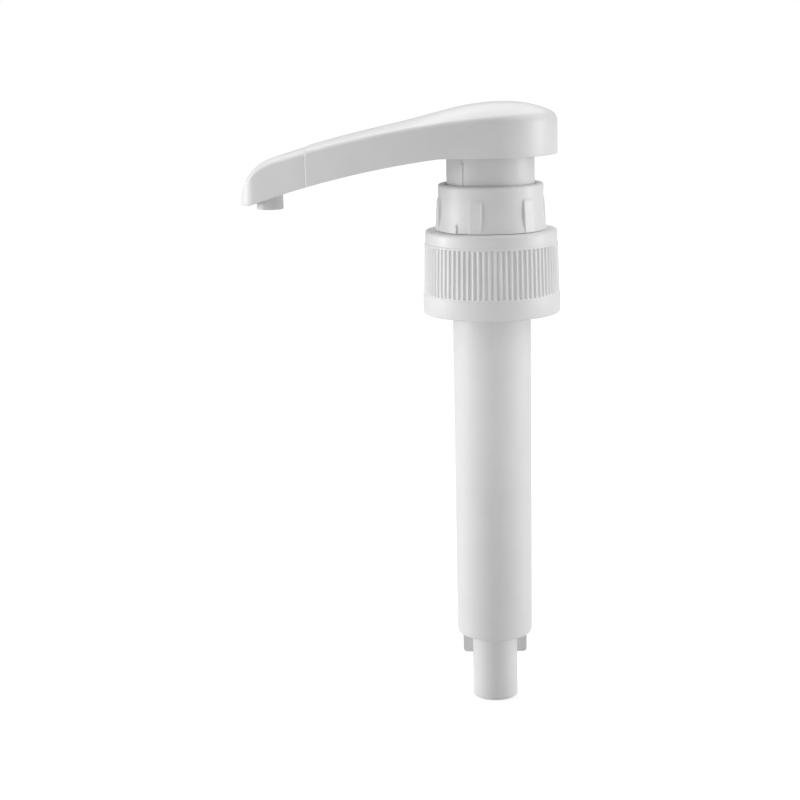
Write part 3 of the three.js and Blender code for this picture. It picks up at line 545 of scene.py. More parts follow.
def rib_rise(angle, radius, height):
    """How far the nearest of the six flat ribs stands out from the collar's wall."""
    half_spacing = COLLAR_RIB_SPACING / 2
    phase = (math.degrees(angle) - COLLAR_RIB_PHASE + half_spacing) % COLLAR_RIB_SPACING - half_spacing
    across = COLLAR_BASE_RADIUS * math.radians(phase)
    top_share = (height - COLLAR_BOTTOM) / (COLLAR_RIB_TOP - COLLAR_BOTTOM)
    top = COLLAR_TOP_RADIUS + COLLAR_RIB_PROUD
    face = (COLLAR_BASE_RADIUS + (top - COLLAR_BASE_RADIUS) * top_share) / math.cos(math.radians(phase))
    arch = 0.12 * across * across  # how much lower the rib ends there than at its middle
    soft_side, soft_end = (-0.25, 0.1), (-0.9, 0.4)
    beside = smooth_step(*soft_side, abs(across) - COLLAR_RIB_HALF)
    above = smooth_step(*soft_end, height - COLLAR_RIB_TOP + arch)
    return max(0, face - radius) * (1 - beside) * (1 - above)


def lug_rise(angle, height):
    """How far the small lug at the collar's foot stands out. It narrows upwards."""
    proud, soft_side, foot_spread = 0.42, 0.6, 1.9
    narrow_start, fade_start, top = (COLLAR_BOTTOM + rise for rise in (1.2, 1.6, 2.8))
    across = abs((math.degrees(angle) - LUG_ANGLE + 180) % 360 - 180)
    half = foot_spread * (1 - smooth_step(narrow_start, top, height)) + soft_side
    lug = proud * (1 - smooth_step(half - soft_side, half, across))
    return lug * (1 - smooth_step(fade_start, top, height))


def ribbed(angle, radius, height):
    """Raises the ribs and the lug on the collar's outer wall, and leaves the rest as it is."""
    if radius < COLLAR_BORE_RADIUS + 1 or height > COLLAR_TOP - 1:
        return radius
    return radius + rib_rise(angle, radius, height) + lug_rise(angle, height)


def locking_collar():
    neck_bore = BARREL_NECK_RADIUS + 0.5
    hole = STEM_RADIUS + 0.3
    outline = rounded([
        (neck_bore, COLLAR_FOOT),
        (COLLAR_BASE_RADIUS, COLLAR_FOOT, 0.1),
        (COLLAR_WAIST_RADIUS, COLLAR_BOTTOM + COLLAR_WAIST_HEIGHT, 2.5),
        (COLLAR_TOP_RADIUS, COLLAR_TOP, 2.2),
        (COLLAR_BORE_RADIUS, COLLAR_TOP, 0.3),
        (COLLAR_BORE_RADIUS, COLLAR_FLOOR_TOP),
        (hole, COLLAR_FLOOR_TOP),
        (hole, COLLAR_FLOOR),
        (neck_bore, COLLAR_FLOOR),
    ])
    collar = turned("Locking_collar", with_steps(outline, longest=0.45), collar_angles(), ribbed)
    for phase in (0, math.pi):
        thread = thread_ridge(
            "thread",
            root=COLLAR_BORE_RADIUS,
            height=-0.3,
            width=LOCK_THREAD_WIDTH,
            lead=LOCK_THREAD_LEAD,
            turns=LOCK_THREAD_TURNS,
            bottom=COLLAR_FLOOR_TOP + 3.2,
            phase=phase,
        )
        join(collar, thread)
    return collar


# ---------------------------------------------------------------- head


NOSE_TIP_X = NOSE_CENTRE_X - NOSE_RADIUS
ROLL_START_SLOPE = math.atan(EDGE_SLOPE - 2 * EDGE_DROOP * NOSE_ROLL_START)
ROLL_RADIUS = (NOSE_ROLL_START - NOSE_TIP_X) / (1 - math.sin(ROLL_START_SLOPE))


def edge_line(x):
    """Height of the hood's top edge before it rolls over the nose."""
    return EDGE_HEIGHT + EDGE_SLOPE * x - EDGE_DROOP * x * x


def edge_height(x, inset):
    """Height of the hood's top edge, for a skin that lies inset under the outer one."""
    if x > NOSE_ROLL_START:
        return edge_line(x) - inset
    centre_z = edge_line(NOSE_ROLL_START) - ROLL_RADIUS * math.cos(ROLL_START_SLOPE)
    radius = ROLL_RADIUS - inset
    reach = min(radius, NOSE_TIP_X + ROLL_RADIUS - x)
    return centre_z + math.sqrt(radius * radius - reach * reach)


def crown_height(x):
    """How far the roof's middle stands above its edges: a dome on the hub, a slight crown beyond."""
    return SPOUT_CROWN + DOME_CROWN * math.exp(-((max(0, -x) / DOME_LENGTH) ** DOME_FALL))


def underside_height(x):
    """Height of the hood's bottom edge, flat under the hub and under the nose."""
    depth = SPOUT_DEPTH - SPOUT_DEPTH_GROWTH * x
    return min(HUB_UNDERSIDE, max(NOSE_UNDERSIDE, edge_line(x) - depth))


def on_arc(x, radius, degrees):
    angle = math.radians(degrees)
    return Vector((x + radius * math.cos(angle), radius * math.sin(angle)))


def heading(degrees):
    """The direction in which a circle runs at that angle."""
    angle = math.radians(degrees)
    return Vector((-math.sin(angle), math.cos(angle)))


def hood_plan(inset):
    """The hood's plan from the back of the hub round one side, the nose and the other side.

    Also gives the X where the side starts and where it ends.
    """
    hub, nose = HUB_RADIUS - inset, NOSE_RADIUS - inset
    start, end = on_arc(0, hub, HUB_TANGENT), on_arc(NOSE_CENTRE_X, nose, NOSE_TANGENT)
    handle = (end - start).length * SIDE_HANDLE
    start_handle = start + heading(HUB_TANGENT) * handle
    end_handle = end - heading(NOSE_TANGENT) * handle
    hub_steps, side_steps, nose_steps = 40, 64, 22
    half = [on_arc(0, hub, HUB_TANGENT * i / hub_steps) for i in range(hub_steps)]
    for i in range(side_steps + 1):
        t = i / side_steps
        half.append(
            start * (1 - t) ** 3 + start_handle * 3 * t * (1 - t) ** 2
            + end_handle * 3 * t * t * (1 - t) + end * t ** 3
        )
    for i in range(1, nose_steps + 1):
        turn = (180 - NOSE_TANGENT) * i / nose_steps
        half.append(on_arc(NOSE_CENTRE_X, nose, NOSE_TANGENT + turn))
    mirrored = [Vector((point.x, -point.y)) for point in reversed(half[1:-1])]
    return half + mirrored, start.x, end.x


def hood_fillet(x, inset):
    """The rounding of the hood's top edge: tight along the spout, wide behind the hub."""
    back = smooth_step(0, HUB_RADIUS, x)
    return max(SMALLEST_FILLET, SIDE_FILLET + (BACK_FILLET - SIDE_FILLET) * back - inset)


def hood_skin(inset, floor_drop=0.0, rim=0.0):
    """Rings of one skin of the hood, from its bottom edge to the line along the roof's middle.

    rim rounds the bottom edge: inwards if positive, outwards if negative.
    """
    rim_steps, wall_steps, fillet_steps, roof_steps = 3, 6, 8, 22
    plan, side_start, side_end = hood_plan(inset)
    ribs = []
    for edge in plan:
        along = min(1, max(0, (edge.x - side_start) / (side_end - side_start)))
        spine = Vector((NOSE_CENTRE_X * along, 0))
        reach = (edge - spine).length

        def lift(share, z):
            point = spine.lerp(edge, share)
            return Vector((point.x, point.y, z))

        def roof(share):
            x = spine.lerp(edge, share).x
            return edge_height(x, inset) + crown_height(x) * (1 - share ** ROOF_FALL)

        # The roof's slope goes on past the fillet's start and meets the wall at the corner.
        fillet = hood_fillet(edge.x, inset)
        fillet_share = 1 - fillet / reach
        nearby = 0.02
        slope = (roof(fillet_share) - roof(fillet_share - nearby)) / nearby
        corner = roof(fillet_share) + slope * (1 - fillet_share)
        bottom = underside_height(edge.x) - floor_drop
        rim_start, rim_end = lift(1 - rim / reach, bottom), lift(1, bottom + abs(rim))
        rib = curve_points(rim_start, lift(1, bottom), rim_end, rim_steps)
        low, wall_top = rib[-1].z, corner - fillet
        rib += [lift(1, low + (wall_top - low) * k / wall_steps) for k in range(1, wall_steps)]
        fillet_end = lift(fillet_share, roof(fillet_share))
        rib += curve_points(lift(1, wall_top), lift(1, corner), fillet_end, fillet_steps)
        shares = [fillet_share * (1 - k / roof_steps) for k in range(1, roof_steps + 1)]
        rib += [lift(share, roof(share)) for share in shares]
        ribs.append(rib)
    return [[rib[row] for rib in ribs] for row in range(len(ribs[0]))]


def skinned(name, rings, closing):
    """A closed mesh over the rings, from the last to the first, and then over the closing ones.

    The ring at either end lies on a line, so it needs no cap.
    """
    rings = [*reversed(rings), *closing]
    size = len(rings[0])
    points = [point for ring in rings for point in ring]
    faces = []
    for i in range(len(rings) - 1):
        for k in range(size):
            m = (k + 1) % size
            faces.append((i * size + k, i * size + m, (i + 1) * size + m, (i + 1) * size + k))
    return solid(name, points, faces)


def hood_shell(name, step=0.0):
    """The hood as an open-bottomed shell, whose outer skin lies a step below the spout's."""
    rim = 0.25
    outer = hood_skin(step, rim=rim)
    inner = hood_skin(HOOD_WALL, rim=-rim)
    return skinned(name, outer, inner)


def hood_solid(name, inset, floor_drop):
    """A solid under a skin of the hood, with a floor of its own."""
    rings = hood_skin(inset, floor_drop)
    spine = [Vector((top.x, 0, low.z)) for low, top in zip(rings[0], rings[-1])]
    return skinned(name, rings, [spine])


def nose_side(x):
    """A block that covers everything on the nose's side of x."""
    size = 100
    return block("nose side", size, size, 2 * size, x - size / 2, 0, 0)


def hub_side(x):
    """A block that covers everything on the hub's side of x."""
    size = 100
    return block("hub side", size, size, 2 * size, x + size / 2, 0, 0)


def bevelled_end(piece, x, width):
    """Bevels the rims where a piece was cut off square at x."""
    nearby, least_angle = 0.01, 1.0
    shape = bmesh.new()
    shape.from_mesh(piece.data)
    rims = [
        edge
        for edge in shape.edges
        if all(abs(corner.co.x / MM - x) < nearby for corner in edge.verts)
        and len(edge.link_faces) == 2
        and edge.calc_face_angle() > least_angle
    ]
    bmesh.ops.bevel(shape, geom=rims, offset=width * MM, segments=3, profile=0.5, affect="EDGES")
    shape.to_mesh(piece.data)
    shape.free()
    return piece


def skirt():
    """The tube below the hub, with two short threads that lock in the collar."""
    relief = SKIRT_RADIUS - SKIRT_RELIEF
    wall = turned("skirt", rounded([
        (SKIRT_BORE_RADIUS, SKIRT_BOTTOM, 0.3),
        (relief, SKIRT_BOTTOM, 0.4),
        (relief, SKIRT_RELIEF_TOP),
        (SKIRT_RADIUS, SKIRT_RELIEF_TOP, 0.2),
        (SKIRT_RADIUS, ABOVE_ROOF, 0),
        (SKIRT_BORE_RADIUS, ABOVE_ROOF, 0),
    ]))
    for phase in (0.5 * math.pi, 1.5 * math.pi):
        thread = thread_ridge(
            "thread",
            root=relief,
            height=SKIRT_RELIEF - 0.1,
            width=LOCK_THREAD_WIDTH,
            lead=LOCK_THREAD_LEAD,
            turns=LOCK_THREAD_TURNS,
            bottom=SKIRT_BOTTOM + 1.1,
            phase=phase,
        )
        join(wall, thread)
    return wall


def stop_rib():
    """A thin rib down the skirt with a rounded crest and a small bead near its top."""
    half_width, crest_half_width, proud, sunk = 0.5, 0.22, 0.28, 0.4
    side = [(-sunk, -half_width), (0, -half_width), (proud, -crest_half_width)]
    section = side + [(r, -y) for r, y in reversed(side)]
    heights = (COLLAR_TOP + 0.15, HUB_UNDERSIDE + 0.6)
    rib = lofted("stop rib", [[(SKIRT_RADIUS + r, y, z) for r, y in section] for z in heights])
    bead_radius, bead_height = 0.62, 25.0
    arc = [on_arc(0, bead_radius, -90 + 15 * i) for i in range(13)]
    arc[0].x = arc[-1].x = 0
    bead = moved(turned("bead", arc), shifted(SKIRT_RADIUS - 0.15, 0, bead_height))
    return moved(join(rib, bead), Matrix.Rotation(math.radians(LUG_ANGLE), 4, "Z"))


def hub_webs():
    """Webs that brace the skirt against the hub's wall and roof."""
    thickness, height, middle = 1.2, 14, 38
    inner, outer = SKIRT_RADIUS - 0.8, HUB_RADIUS + 1
    for angle in (-58, 2, 62):
        web = block("web", outer - inner, thickness, height, (outer + inner) / 2, 0, middle)
        yield moved(web, Matrix.Rotation(math.radians(angle), 4, "Z"))


def along_tube(name, radius, from_x, to_x, soft=0.0):
    """A solid round bar along the delivery tube's line, from one X to another."""
    start, end = -from_x / math.cos(TUBE_SLOPE), -to_x / math.cos(TUBE_SLOPE)
    outline = rounded([(0, start), (radius, start, soft), (radius, end, soft), (0, end)], 0)
    tilt = Matrix.Rotation(-math.radians(90) - TUBE_SLOPE, 4, "Y")
    return moved(turned(name, outline), shifted(0, 0, TUBE_HEIGHT_AT_AXIS) @ tilt)


def chamber():
    """The room above the stem: the stem's socket below, and the discharge valve's chamber above."""
    socket = STEM_RADIUS + 0.1
    corners = [
        (0, BOSS_BOTTOM - 1),
        (socket, BOSS_BOTTOM - 1),
        (socket, CHAMBER_BOTTOM + 0.1),
        (CHAMBER_RADIUS, CHAMBER_BOTTOM + 0.1),
        (CHAMBER_RADIUS, CHAMBER_TOP),
        (0, CHAMBER_TOP),
    ]
    return turned("chamber", [Vector(corner) for corner in corners])


def head_shell():
    """The hub and the spout up to its seam, with the skirt, boss and webs under the roof."""
    boss = turned("boss", rounded([
        (0, BOSS_BOTTOM),
        (BOSS_RADIUS, BOSS_BOTTOM, 0.4),
        (BOSS_RADIUS, ABOVE_ROOF, 0),
        (0, ABOVE_ROOF),
    ]))
    inside = join(skirt(), boss, *hub_webs())
    combine(inside, hood_solid("under roof", HOOD_WALL / 2, floor_drop=40), "INTERSECT")
    seam = TIP_SEAM_X + SEAM_OPENING / 2
    shell = bevelled_end(cut(hood_shell("Head_shell"), nose_side(seam)), seam, SEAM_BEVEL)
    join(shell, inside, stop_rib())
    port = along_tube("port", TUBE_BORE_RADIUS - 0.2, 0, TUBE_START_X - 1)
    tube_socket = along_tube("tube socket", TUBE_RADIUS + 0.3, TUBE_START_X + 0.3, TUBE_SOCKET_END_X)
    return cut(shell, chamber(), port, tube_socket)


def spout_nose():
    """The nose cap, set a little below the spout's skin, with a tongue that slides inside it."""
    seam = TIP_SEAM_X - SEAM_OPENING / 2
    tongue_inset, tongue_wall, tongue_length = HOOD_WALL + SEAM_GAP, 1.0, 4.5
    cap = cut(hood_shell("Spout_nose", SEAM_STEP), hub_side(seam))
    # Each band has an inset and two ends. The first one holds the tongue to the cap's wall.
    bands = (
        (HOOD_WALL - 0.2, seam - 2.5, seam - 0.05),
        (tongue_inset, seam - 1, TIP_SEAM_X + tongue_length),
    )
    for inset, low, high in bands:
        band = cut(
            hood_solid("band", inset, floor_drop=0),
            hood_solid("hollow", tongue_inset + tongue_wall, floor_drop=4),
            nose_side(low),
            hub_side(high),
        )
        join(cap, band)
    return cap


def delivery_tube():
    bar = along_tube("Delivery_tube", TUBE_RADIUS, TUBE_START_X, TUBE_END_X, SOFT_EDGE)
    return cut(bar, along_tube("bore", TUBE_BORE_RADIUS, TUBE_START_X + 1, TUBE_END_X - 1))


def outlet_nozzle():
    """An elbow that takes the delivery tube and turns it down through the open nose."""
    sleeve_start, sleeve_end = TUBE_END_X + 3.6, TUBE_END_X - 1
    dome = [on_arc(0, ELBOW_RADIUS, 7.5 * i) + Vector((0, ELBOW_HEIGHT)) for i in range(1, 12)]
    spout = turned("Outlet_nozzle", rounded([
        (0, NOZZLE_BOTTOM),
        (NOZZLE_RADIUS, NOZZLE_BOTTOM, 0.35),
        (NOZZLE_RADIUS, ELBOW_HEIGHT - 2.6, 0.5),
        (ELBOW_RADIUS, ELBOW_HEIGHT, 0.5),
        *[(*point, 0) for point in dome],
        (0, ELBOW_HEIGHT + ELBOW_RADIUS),
    ]))
    moved(spout, shifted(NOZZLE_X, 0, 0))
    join(spout, along_tube("sleeve", TUBE_RADIUS + 0.95, sleeve_start, sleeve_end, soft=0.2))
    bore = turned("bore", rounded([
        (0, NOZZLE_BOTTOM - 1),
        (NOZZLE_BORE_RADIUS, NOZZLE_BOTTOM - 1),
        (NOZZLE_BORE_RADIUS, ELBOW_HEIGHT, 1),
        (0, ELBOW_HEIGHT),
    ]))
    moved(bore, shifted(NOZZLE_X, 0, 0))
    sleeve_bore = along_tube("sleeve bore", TUBE_RADIUS + 0.3, sleeve_start + 1, TUBE_END_X - 0.3)
    throat = along_tube("throat", TUBE_BORE_RADIUS, sleeve_start, NOZZLE_X)
    return cut(spout, sleeve_bore, throat, bore)


# ---------------------------------------------------------------- stem, gasket and spring


def stem():
    cone = 1.2  # height of the slope on the shoulder
    return turned("Stem", rounded([
        (STEM_BORE_RADIUS, STEM_BOTTOM),
        (STEM_RADIUS, STEM_BOTTOM),
        (STEM_RADIUS, SHOULDER_BOTTOM),
        (SHOULDER_RADIUS, SHOULDER_BOTTOM),
        (SHOULDER_RADIUS, SHOULDER_TOP - cone, 0.3),
        (STEM_RADIUS, SHOULDER_TOP, 0.2),
        (STEM_RADIUS, STEM_TOP, 0.3),
        (STEM_BORE_RADIUS, STEM_TOP),
    ]))


def neck_gasket():
    low, high = (corner.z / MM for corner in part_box("neck_gasket"))
    return turned("Neck_gasket", rounded([
        (GASKET_HOLE_RADIUS, low),
        (FLANGE_RADIUS, low),
        (FLANGE_RADIUS, high),
        (GASKET_HOLE_RADIUS, high),
    ]))


def return_spring():
    """A wound wire in the room that the CAD spring takes."""
    box_low, box_high = (corner.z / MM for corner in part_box("return_spring"))
    low, high = box_low + SPRING_WIRE_RADIUS, box_high - SPRING_WIRE_RADIUS
    steps_per_turn, sides = 48, 12
    slope = math.atan2((high - low) / SPRING_TURNS, math.tau * SPRING_RADIUS)
    rings = []
    for i in range(SPRING_TURNS * steps_per_turn + 1):
        angle = math.tau * i / steps_per_turn
        height = low + (high - low) * i / (SPRING_TURNS * steps_per_turn)
        away = Vector((math.cos(angle), math.sin(angle), 0))
        along = Vector((-math.sin(angle), math.cos(angle), 0))
        upwards = Vector((0, 0, math.cos(slope))) - along * math.sin(slope)
        middle = away * SPRING_RADIUS + Vector((0, 0, height))
        turns = [math.tau * k / sides for k in range(sides)]
        spokes = [away * math.cos(turn) + upwards * math.sin(turn) for turn in turns]
        rings.append([middle + spoke * SPRING_WIRE_RADIUS for spoke in spokes])
    return lofted("Return_spring", rings)


# ---------------------------------------------------------------- materials


def node(tree, kind, **values):
    """Adds a shader node. A value goes to the input of that name, or else to the node's field."""
    made = tree.nodes.new(kind)
    for name, value in values.items():
        label = name.replace("_", " ")
        if label in made.inputs:
            made.inputs[label].default_value = value
        else:
            setattr(made, name, value)
    return made


def noise(tree, place, size_mm, detail, stretch=(1, 1, 1)):
    """A noise with features of about that size. stretch makes them longer along an axis."""
    mapping = node(tree, "ShaderNodeMapping", Scale=tuple(1 / (s * size_mm * MM) for s in stretch))
    tree.links.new(place, mapping.inputs["Vector"])
    made = node(tree, "ShaderNodeTexNoise", Scale=1.0, Detail=detail, Roughness=0.55)
    tree.links.new(mapping.outputs["Vector"], made.inputs["Vector"])
    return made.outputs["Fac"]


def ranged(tree, value, low, high):
    """Spreads a noise, which keeps mostly between 0.3 and 0.7, over a range."""
    made = node(tree, "ShaderNodeMapRange", From_Min=0.3, From_Max=0.7, To_Min=low, To_Max=high)
    tree.links.new(value, made.inputs["Value"])
    return made.outputs["Result"]


def two_tone(tree, light, dark, share):
    """A colour that wanders from the light tone to the dark one with that share."""
    made = node(tree, "ShaderNodeMix", data_type="RGBA")
    made.inputs["A"].default_value = (*light, 1)
    made.inputs["B"].default_value = (*dark, 1)
    tree.links.new(share, made.inputs["Factor"])
    return made.outputs["Result"]


def bumped(tree, height, distance_mm, strength, under=None):
    """A normal that a height map disturbs, on top of another normal where there is one."""
    made = node(tree, "ShaderNodeBump", Strength=strength, Distance=distance_mm * MM)
    tree.links.new(height, made.inputs["Height"])
    if under:
        tree.links.new(under, made.inputs["Normal"])
    return made.outputs["Normal"]


def start_material(name):
    """A new material, its nodes, the object's own coordinates and its Principled shader."""
    material = bpy.data.materials.new(name)
    material.use_nodes = True
    tree = material.node_tree
    place = node(tree, "ShaderNodeTexCoord").outputs["Object"]
    return material, tree, place, tree.nodes["Principled BSDF"]


def moulded(name, light, dark, rough, translucent=0.1, grain_mm=0.6, draw=(1, 1, 1)):
    """Moulded plastic: a faint cloudy tone, patchy gloss, a fine grain and shallow flow waves."""
    cloud_mm, gloss_patch_mm, wave_mm = 9, 2.2, 7
    material, tree, place, shader = start_material(name)
    cloud = ranged(tree, noise(tree, place, cloud_mm, detail=2), 0, 1)
    tree.links.new(two_tone(tree, light, dark, cloud), shader.inputs["Base Color"])
    gloss = ranged(tree, noise(tree, place, gloss_patch_mm, detail=4), *rough)
    tree.links.new(gloss, shader.inputs["Roughness"])
    waves = noise(tree, place, wave_mm, detail=1, stretch=draw)
    grain = noise(tree, place, grain_mm, detail=4, stretch=draw)
    wavy = bumped(tree, waves, distance_mm=0.04, strength=0.25)
    grainy = bumped(tree, grain, distance_mm=0.02, strength=0.12, under=wavy)
    tree.links.new(grainy, shader.inputs["Normal"])
    shader.inputs["IOR"].default_value = 1.49
    shader.inputs["Subsurface Weight"].default_value = translucent
    shader.inputs["Subsurface Radius"].default_value = (1.0, 0.9, 0.8)
    shader.inputs["Subsurface Scale"].default_value = 1.2 * MM
    return material


def steel(name, rough):
    """Bright steel with fine drawing or lapping marks."""
    stain_mm, gloss_patch_mm, mark_mm = 1.5, 0.3, 0.12
    light, dark = (0.62, 0.63, 0.65), (0.5, 0.51, 0.53)
    material, tree, place, shader = start_material(name)
    stain = ranged(tree, noise(tree, place, stain_mm, detail=3), 0, 1)
    tree.links.new(two_tone(tree, light, dark, stain), shader.inputs["Base Color"])
    gloss = ranged(tree, noise(tree, place, gloss_patch_mm, detail=4), *rough)
    tree.links.new(gloss, shader.inputs["Roughness"])
    marks = noise(tree, place, mark_mm, detail=3)
    tree.links.new(bumped(tree, marks, distance_mm=0.01, strength=0.15), shader.inputs["Normal"])
    shader.inputs["Metallic"].default_value = 1.0
    return material


def soft(name, light, dark, cell_mm, depth_mm):
    """Rubber or foam: matt, with fine cells in the surface."""
    gloss_patch_mm, rough = 3, (0.65, 0.85)
    material, tree, place, shader = start_material(name)
    cells = noise(tree, place, cell_mm, detail=3)
    tone = two_tone(tree, light, dark, ranged(tree, cells, 0, 1))
    tree.links.new(tone, shader.inputs["Base Color"])
    gloss = ranged(tree, noise(tree, place, gloss_patch_mm, detail=3), *rough)
    tree.links.new(gloss, shader.inputs["Roughness"])
    tree.links.new(bumped(tree, cells, depth_mm, strength=0.4), shader.inputs["Normal"])
    shader.inputs["Sheen Weight"].default_value = 0.15
    return material


ALONG_AXIS = (1, 1, 8)  # marks drawn out along the pump's axis
WHITE, WHITE_SHADE = (0.85, 0.85, 0.85), (0.82, 0.822, 0.825)
NATURAL, NATURAL_SHADE = (0.78, 0.76, 0.69), (0.74, 0.72, 0.64)
RUBBER, RUBBER_SHADE = (0.42, 0.43, 0.43), (0.36, 0.37, 0.37)
FOAM, FOAM_SHADE = (0.72, 0.7, 0.64), (0.62, 0.6, 0.54)

white_gloss = moulded("White_polypropylene", WHITE, WHITE_SHADE, rough=(0.3, 0.4))
white_drawn = moulded(
    "White_polypropylene_drawn", WHITE, WHITE_SHADE, rough=(0.32, 0.42), draw=ALONG_AXIS
)
natural = moulded(
    "Natural_polyethylene", NATURAL, NATURAL_SHADE, rough=(0.38, 0.5), translucent=0.35, grain_mm=0.8
)
wire_steel = steel("Spring_wire", rough=(0.3, 0.4))
ball_steel = steel("Ball_steel", rough=(0.06, 0.14))
seal_rubber = soft("Seal_rubber", RUBBER, RUBBER_SHADE, cell_mm=0.35, depth_mm=0.02)
liner_foam = soft("Liner_foam", FOAM, FOAM_SHADE, cell_mm=0.5, depth_mm=0.08)


# ---------------------------------------------------------------- pieces on their bodies


def place_piece(piece, material, body, node_name, slot):
    """Finishes a piece's mesh, gives it its material and lets it stand for its CAD node."""
    tidy_mesh(piece.data)
    piece.data.materials.clear()
    piece.data.materials.append(material)
    for face in piece.data.polygons:
        face.material_index = 0
    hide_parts(node_name)
    if body:
        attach(piece, body)
    return piece


# What builds each piece, its material, its body, the CAD node it stands for and its slot.
REBUILT = [
    (pump_barrel, white_drawn, "barrel_assembly", "pump_barrel", "white_plastic"),
    (locking_collar, white_gloss, "barrel_assembly", "locking_collar", "white_plastic"),
    (neck_gasket, liner_foam, "barrel_assembly", "neck_gasket", "gasket_foam"),
    (closure, white_gloss, "closure_ring", "closure", "white_plastic"),
    (stem, white_drawn, "head", "stem", "white_plastic"),
    (head_shell, white_gloss, "head", "head_shell", "white_plastic"),
    (spout_nose, white_gloss, "head", "spout_nose", "white_plastic"),
    (outlet_nozzle, white_gloss, "head", "outlet_nozzle", "white_plastic"),
    (delivery_tube, natural, "head", "delivery_tube", "natural_plastic"),
]
for build, material, body, node_name, slot in REBUILT:
    place_piece(build(), material, body, node_name, slot)

spring = place_piece(return_spring(), wire_steel, None, "return_spring", "stainless_steel")
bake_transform(spring)

CARRIED_OVER = {
    "stem_guide_bush": natural,
    "stem_wiper": seal_rubber,
    "inlet_ball_cage": natural,
    "inlet_ball": ball_steel,
    "piston_cup": natural,
    "piston_retainer": natural,
    "stem_seal_ring": seal_rubber,
    "discharge_valve_seat": natural,
    "discharge_ball_stop": natural,
    "discharge_ball": ball_steel,
}
for node_name, material in CARRIED_OVER.items():
    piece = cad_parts[node_name]
    piece.data.materials.clear()
    piece.data.materials.append(material)


# ---------------------------------------------------------------- camera


def set_camera():
    """A camera a little above the pump that looks at its side, and leans by a degree."""
    pitch, yaw, roll = (math.radians(degrees) for degrees in (-11.99, -2.16, 1.187))
    place = (-8.07, -550.9, 68.6)
    ahead = Vector((math.sin(yaw), math.cos(yaw), 0))
    forward = ahead * math.cos(pitch) + Vector((0, 0, math.sin(pitch)))
    upward = Vector((0, 0, math.cos(pitch))) - ahead * math.sin(pitch)
    right = forward.cross(upward)
    tilted_right = right * math.cos(roll) - upward * math.sin(roll)
    tilted_up = right * math.sin(roll) + upward * math.cos(roll)
    data = bpy.data.cameras.new("Camera")
    data.sensor_width = 36
    data.lens = 81.37
    data.clip_start = 0.02
    data.clip_end = 50
    camera = bpy.data.objects.new("Camera", data)
    bpy.context.scene.collection.objects.link(camera)
    axes = Matrix((tilted_right, tilted_up, -forward)).transposed().to_4x4()
    camera.matrix_world = shifted(*place) @ axes
    bpy.context.scene.camera = camera


# ---------------------------------------------------------------- floor and light


def by_ray(tree, others, camera):
    """One value for the light that reaches the pump, and another for what the camera sees."""
    ray = node(tree, "ShaderNodeLightPath").outputs["Is Camera Ray"]
    made = node(tree, "ShaderNodeMapRange", To_Min=others, To_Max=camera)
    tree.links.new(ray, made.inputs["Value"])
    return made.outputs["Result"]


def floor_material():
    """Matt and pale with a slight glow. Less of it reaches the pump than the camera sees."""
    light, dark, patch_mm = (0.9, 0.9, 0.9), (0.89, 0.89, 0.89), 60
    material, tree, place, shader = start_material("Pale_floor")
    patches = ranged(tree, noise(tree, place, patch_mm, detail=2), 0, 1)
    tone = two_tone(tree, light, dark, patches)
    seen = node(tree, "ShaderNodeMix", data_type="RGBA", blend_type="MULTIPLY")
    seen.inputs["Factor"].default_value = 1
    tree.links.new(tone, seen.inputs["A"])
    tree.links.new(by_ray(tree, others=0.5, camera=1.0), seen.inputs["B"])
    tree.links.new(seen.outputs["Result"], shader.inputs["Base Color"])
    glow = by_ray(tree, others=0.12, camera=0.29)
    tree.links.new(glow, shader.inputs["Emission Strength"])
    shader.inputs["Emission Color"].default_value = (1, 1, 1, 1)
    shader.inputs["Roughness"].default_value = 0.9
    return material


def floor():
    """A wide, plain, pale disc that glows a little, as a light table does."""
    reach, sides = 6.0, 64
    height = Vector((0, 0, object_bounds()[0].z))
    ring = [on_arc(0, reach, 360 * i / sides).to_3d() + height for i in range(sides)]
    mesh = bpy.data.meshes.new("Floor")
    mesh.from_pydata(ring, [], [tuple(range(sides))])
    mesh.materials.append(floor_material())
    made = bpy.data.objects.new("Floor", mesh)
    bpy.context.scene.collection.objects.link(made)
    made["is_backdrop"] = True


def outwards(azimuth, elevation):
    """The direction from the pump to a light. Azimuth 0 is the camera's side, 90 is the right."""
    across, up = math.radians(azimuth), math.radians(elevation)
    level = math.cos(up)
    return Vector((math.sin(across) * level, -math.cos(across) * level, math.sin(up)))


def add_light(data, direction, location=(0, 0, 0)):
    """Puts a light in the scene, shining against the direction that leads to it."""
    made = bpy.data.objects.new(data.name, data)
    bpy.context.scene.collection.objects.link(made)
    made.location = location
    made.rotation_euler = (-direction).to_track_quat("-Z", "Y").to_euler()


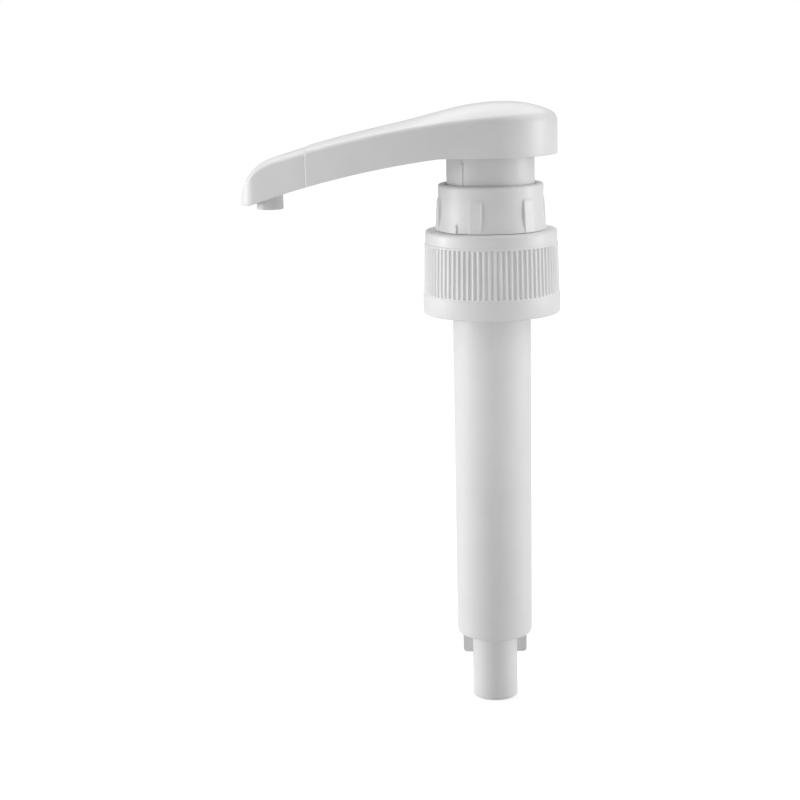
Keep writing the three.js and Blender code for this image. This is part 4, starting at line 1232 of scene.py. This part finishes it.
def softbox(name, azimuth, watts):
    """An upright soft light on a stand beside the pump."""
    distance, height = 1.1, 0.06
    data = bpy.data.lights.new(name, "AREA")
    data.shape = "RECTANGLE"
    data.size, data.size_y = 0.38, 0.40
    data.energy = watts
    direction = outwards(azimuth, 0)
    add_light(data, direction, direction * distance + Vector((0, 0, height)))


def barrel_spot():
    """A narrow spot from the front that lifts the middle of the barrel."""
    location, target = Vector((-0.05, -0.9, 0.02)), Vector((0, 0, -0.037))
    data = bpy.data.lights.new("Barrel_spot", "SPOT")
    data.spot_size = math.radians(6.5)
    data.spot_blend = 0.9
    data.shadow_soft_size = 0.05
    data.energy = 4
    add_light(data, location - target, location)


def sky(name, azimuth, elevation, strength):
    """Light from a wide patch of the studio's ceiling or wall, the same all over the floor."""
    data = bpy.data.lights.new(name, "SUN")
    data.angle = math.radians(60)
    data.energy = strength
    add_light(data, outwards(azimuth, elevation))


def set_world():
    """White for the camera, and dim for the light that falls on the pump."""
    dim, white = (0.22, 0.22, 0.22, 1), (1, 1, 1, 1)
    world = bpy.data.worlds.new("Studio")
    bpy.context.scene.world = world
    world.use_nodes = True
    tree = world.node_tree
    tone = node(tree, "ShaderNodeMix", data_type="RGBA")
    tone.inputs["A"].default_value = dim
    tone.inputs["B"].default_value = white
    ray = node(tree, "ShaderNodeLightPath")
    tree.links.new(ray.outputs["Is Camera Ray"], tone.inputs["Factor"])
    tree.links.new(tone.outputs["Result"], tree.nodes["Background"].inputs["Color"])


set_camera()
floor()
set_world()
softbox("Left_front_softbox", -68, 1.5)
softbox("Left_softbox", -90, 3.7)
softbox("Left_back_softbox", -115, 0.3)
softbox("Right_front_softbox", 68, 1.0)
softbox("Right_softbox", 90, 2.7)
barrel_spot()
sky("Sky_behind", 180, 50, 1.1)
sky("Sky_left", -90, 40, 1.0)
sky("Sky_right", 90, 40, 1.0)

view = bpy.context.scene.view_settings
view.view_transform = "Standard"
view.look = "None"

boxes = {"cad": cad_box, "visual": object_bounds()}
{name: [list(corner) for corner in box] for name, box in boxes.items()}
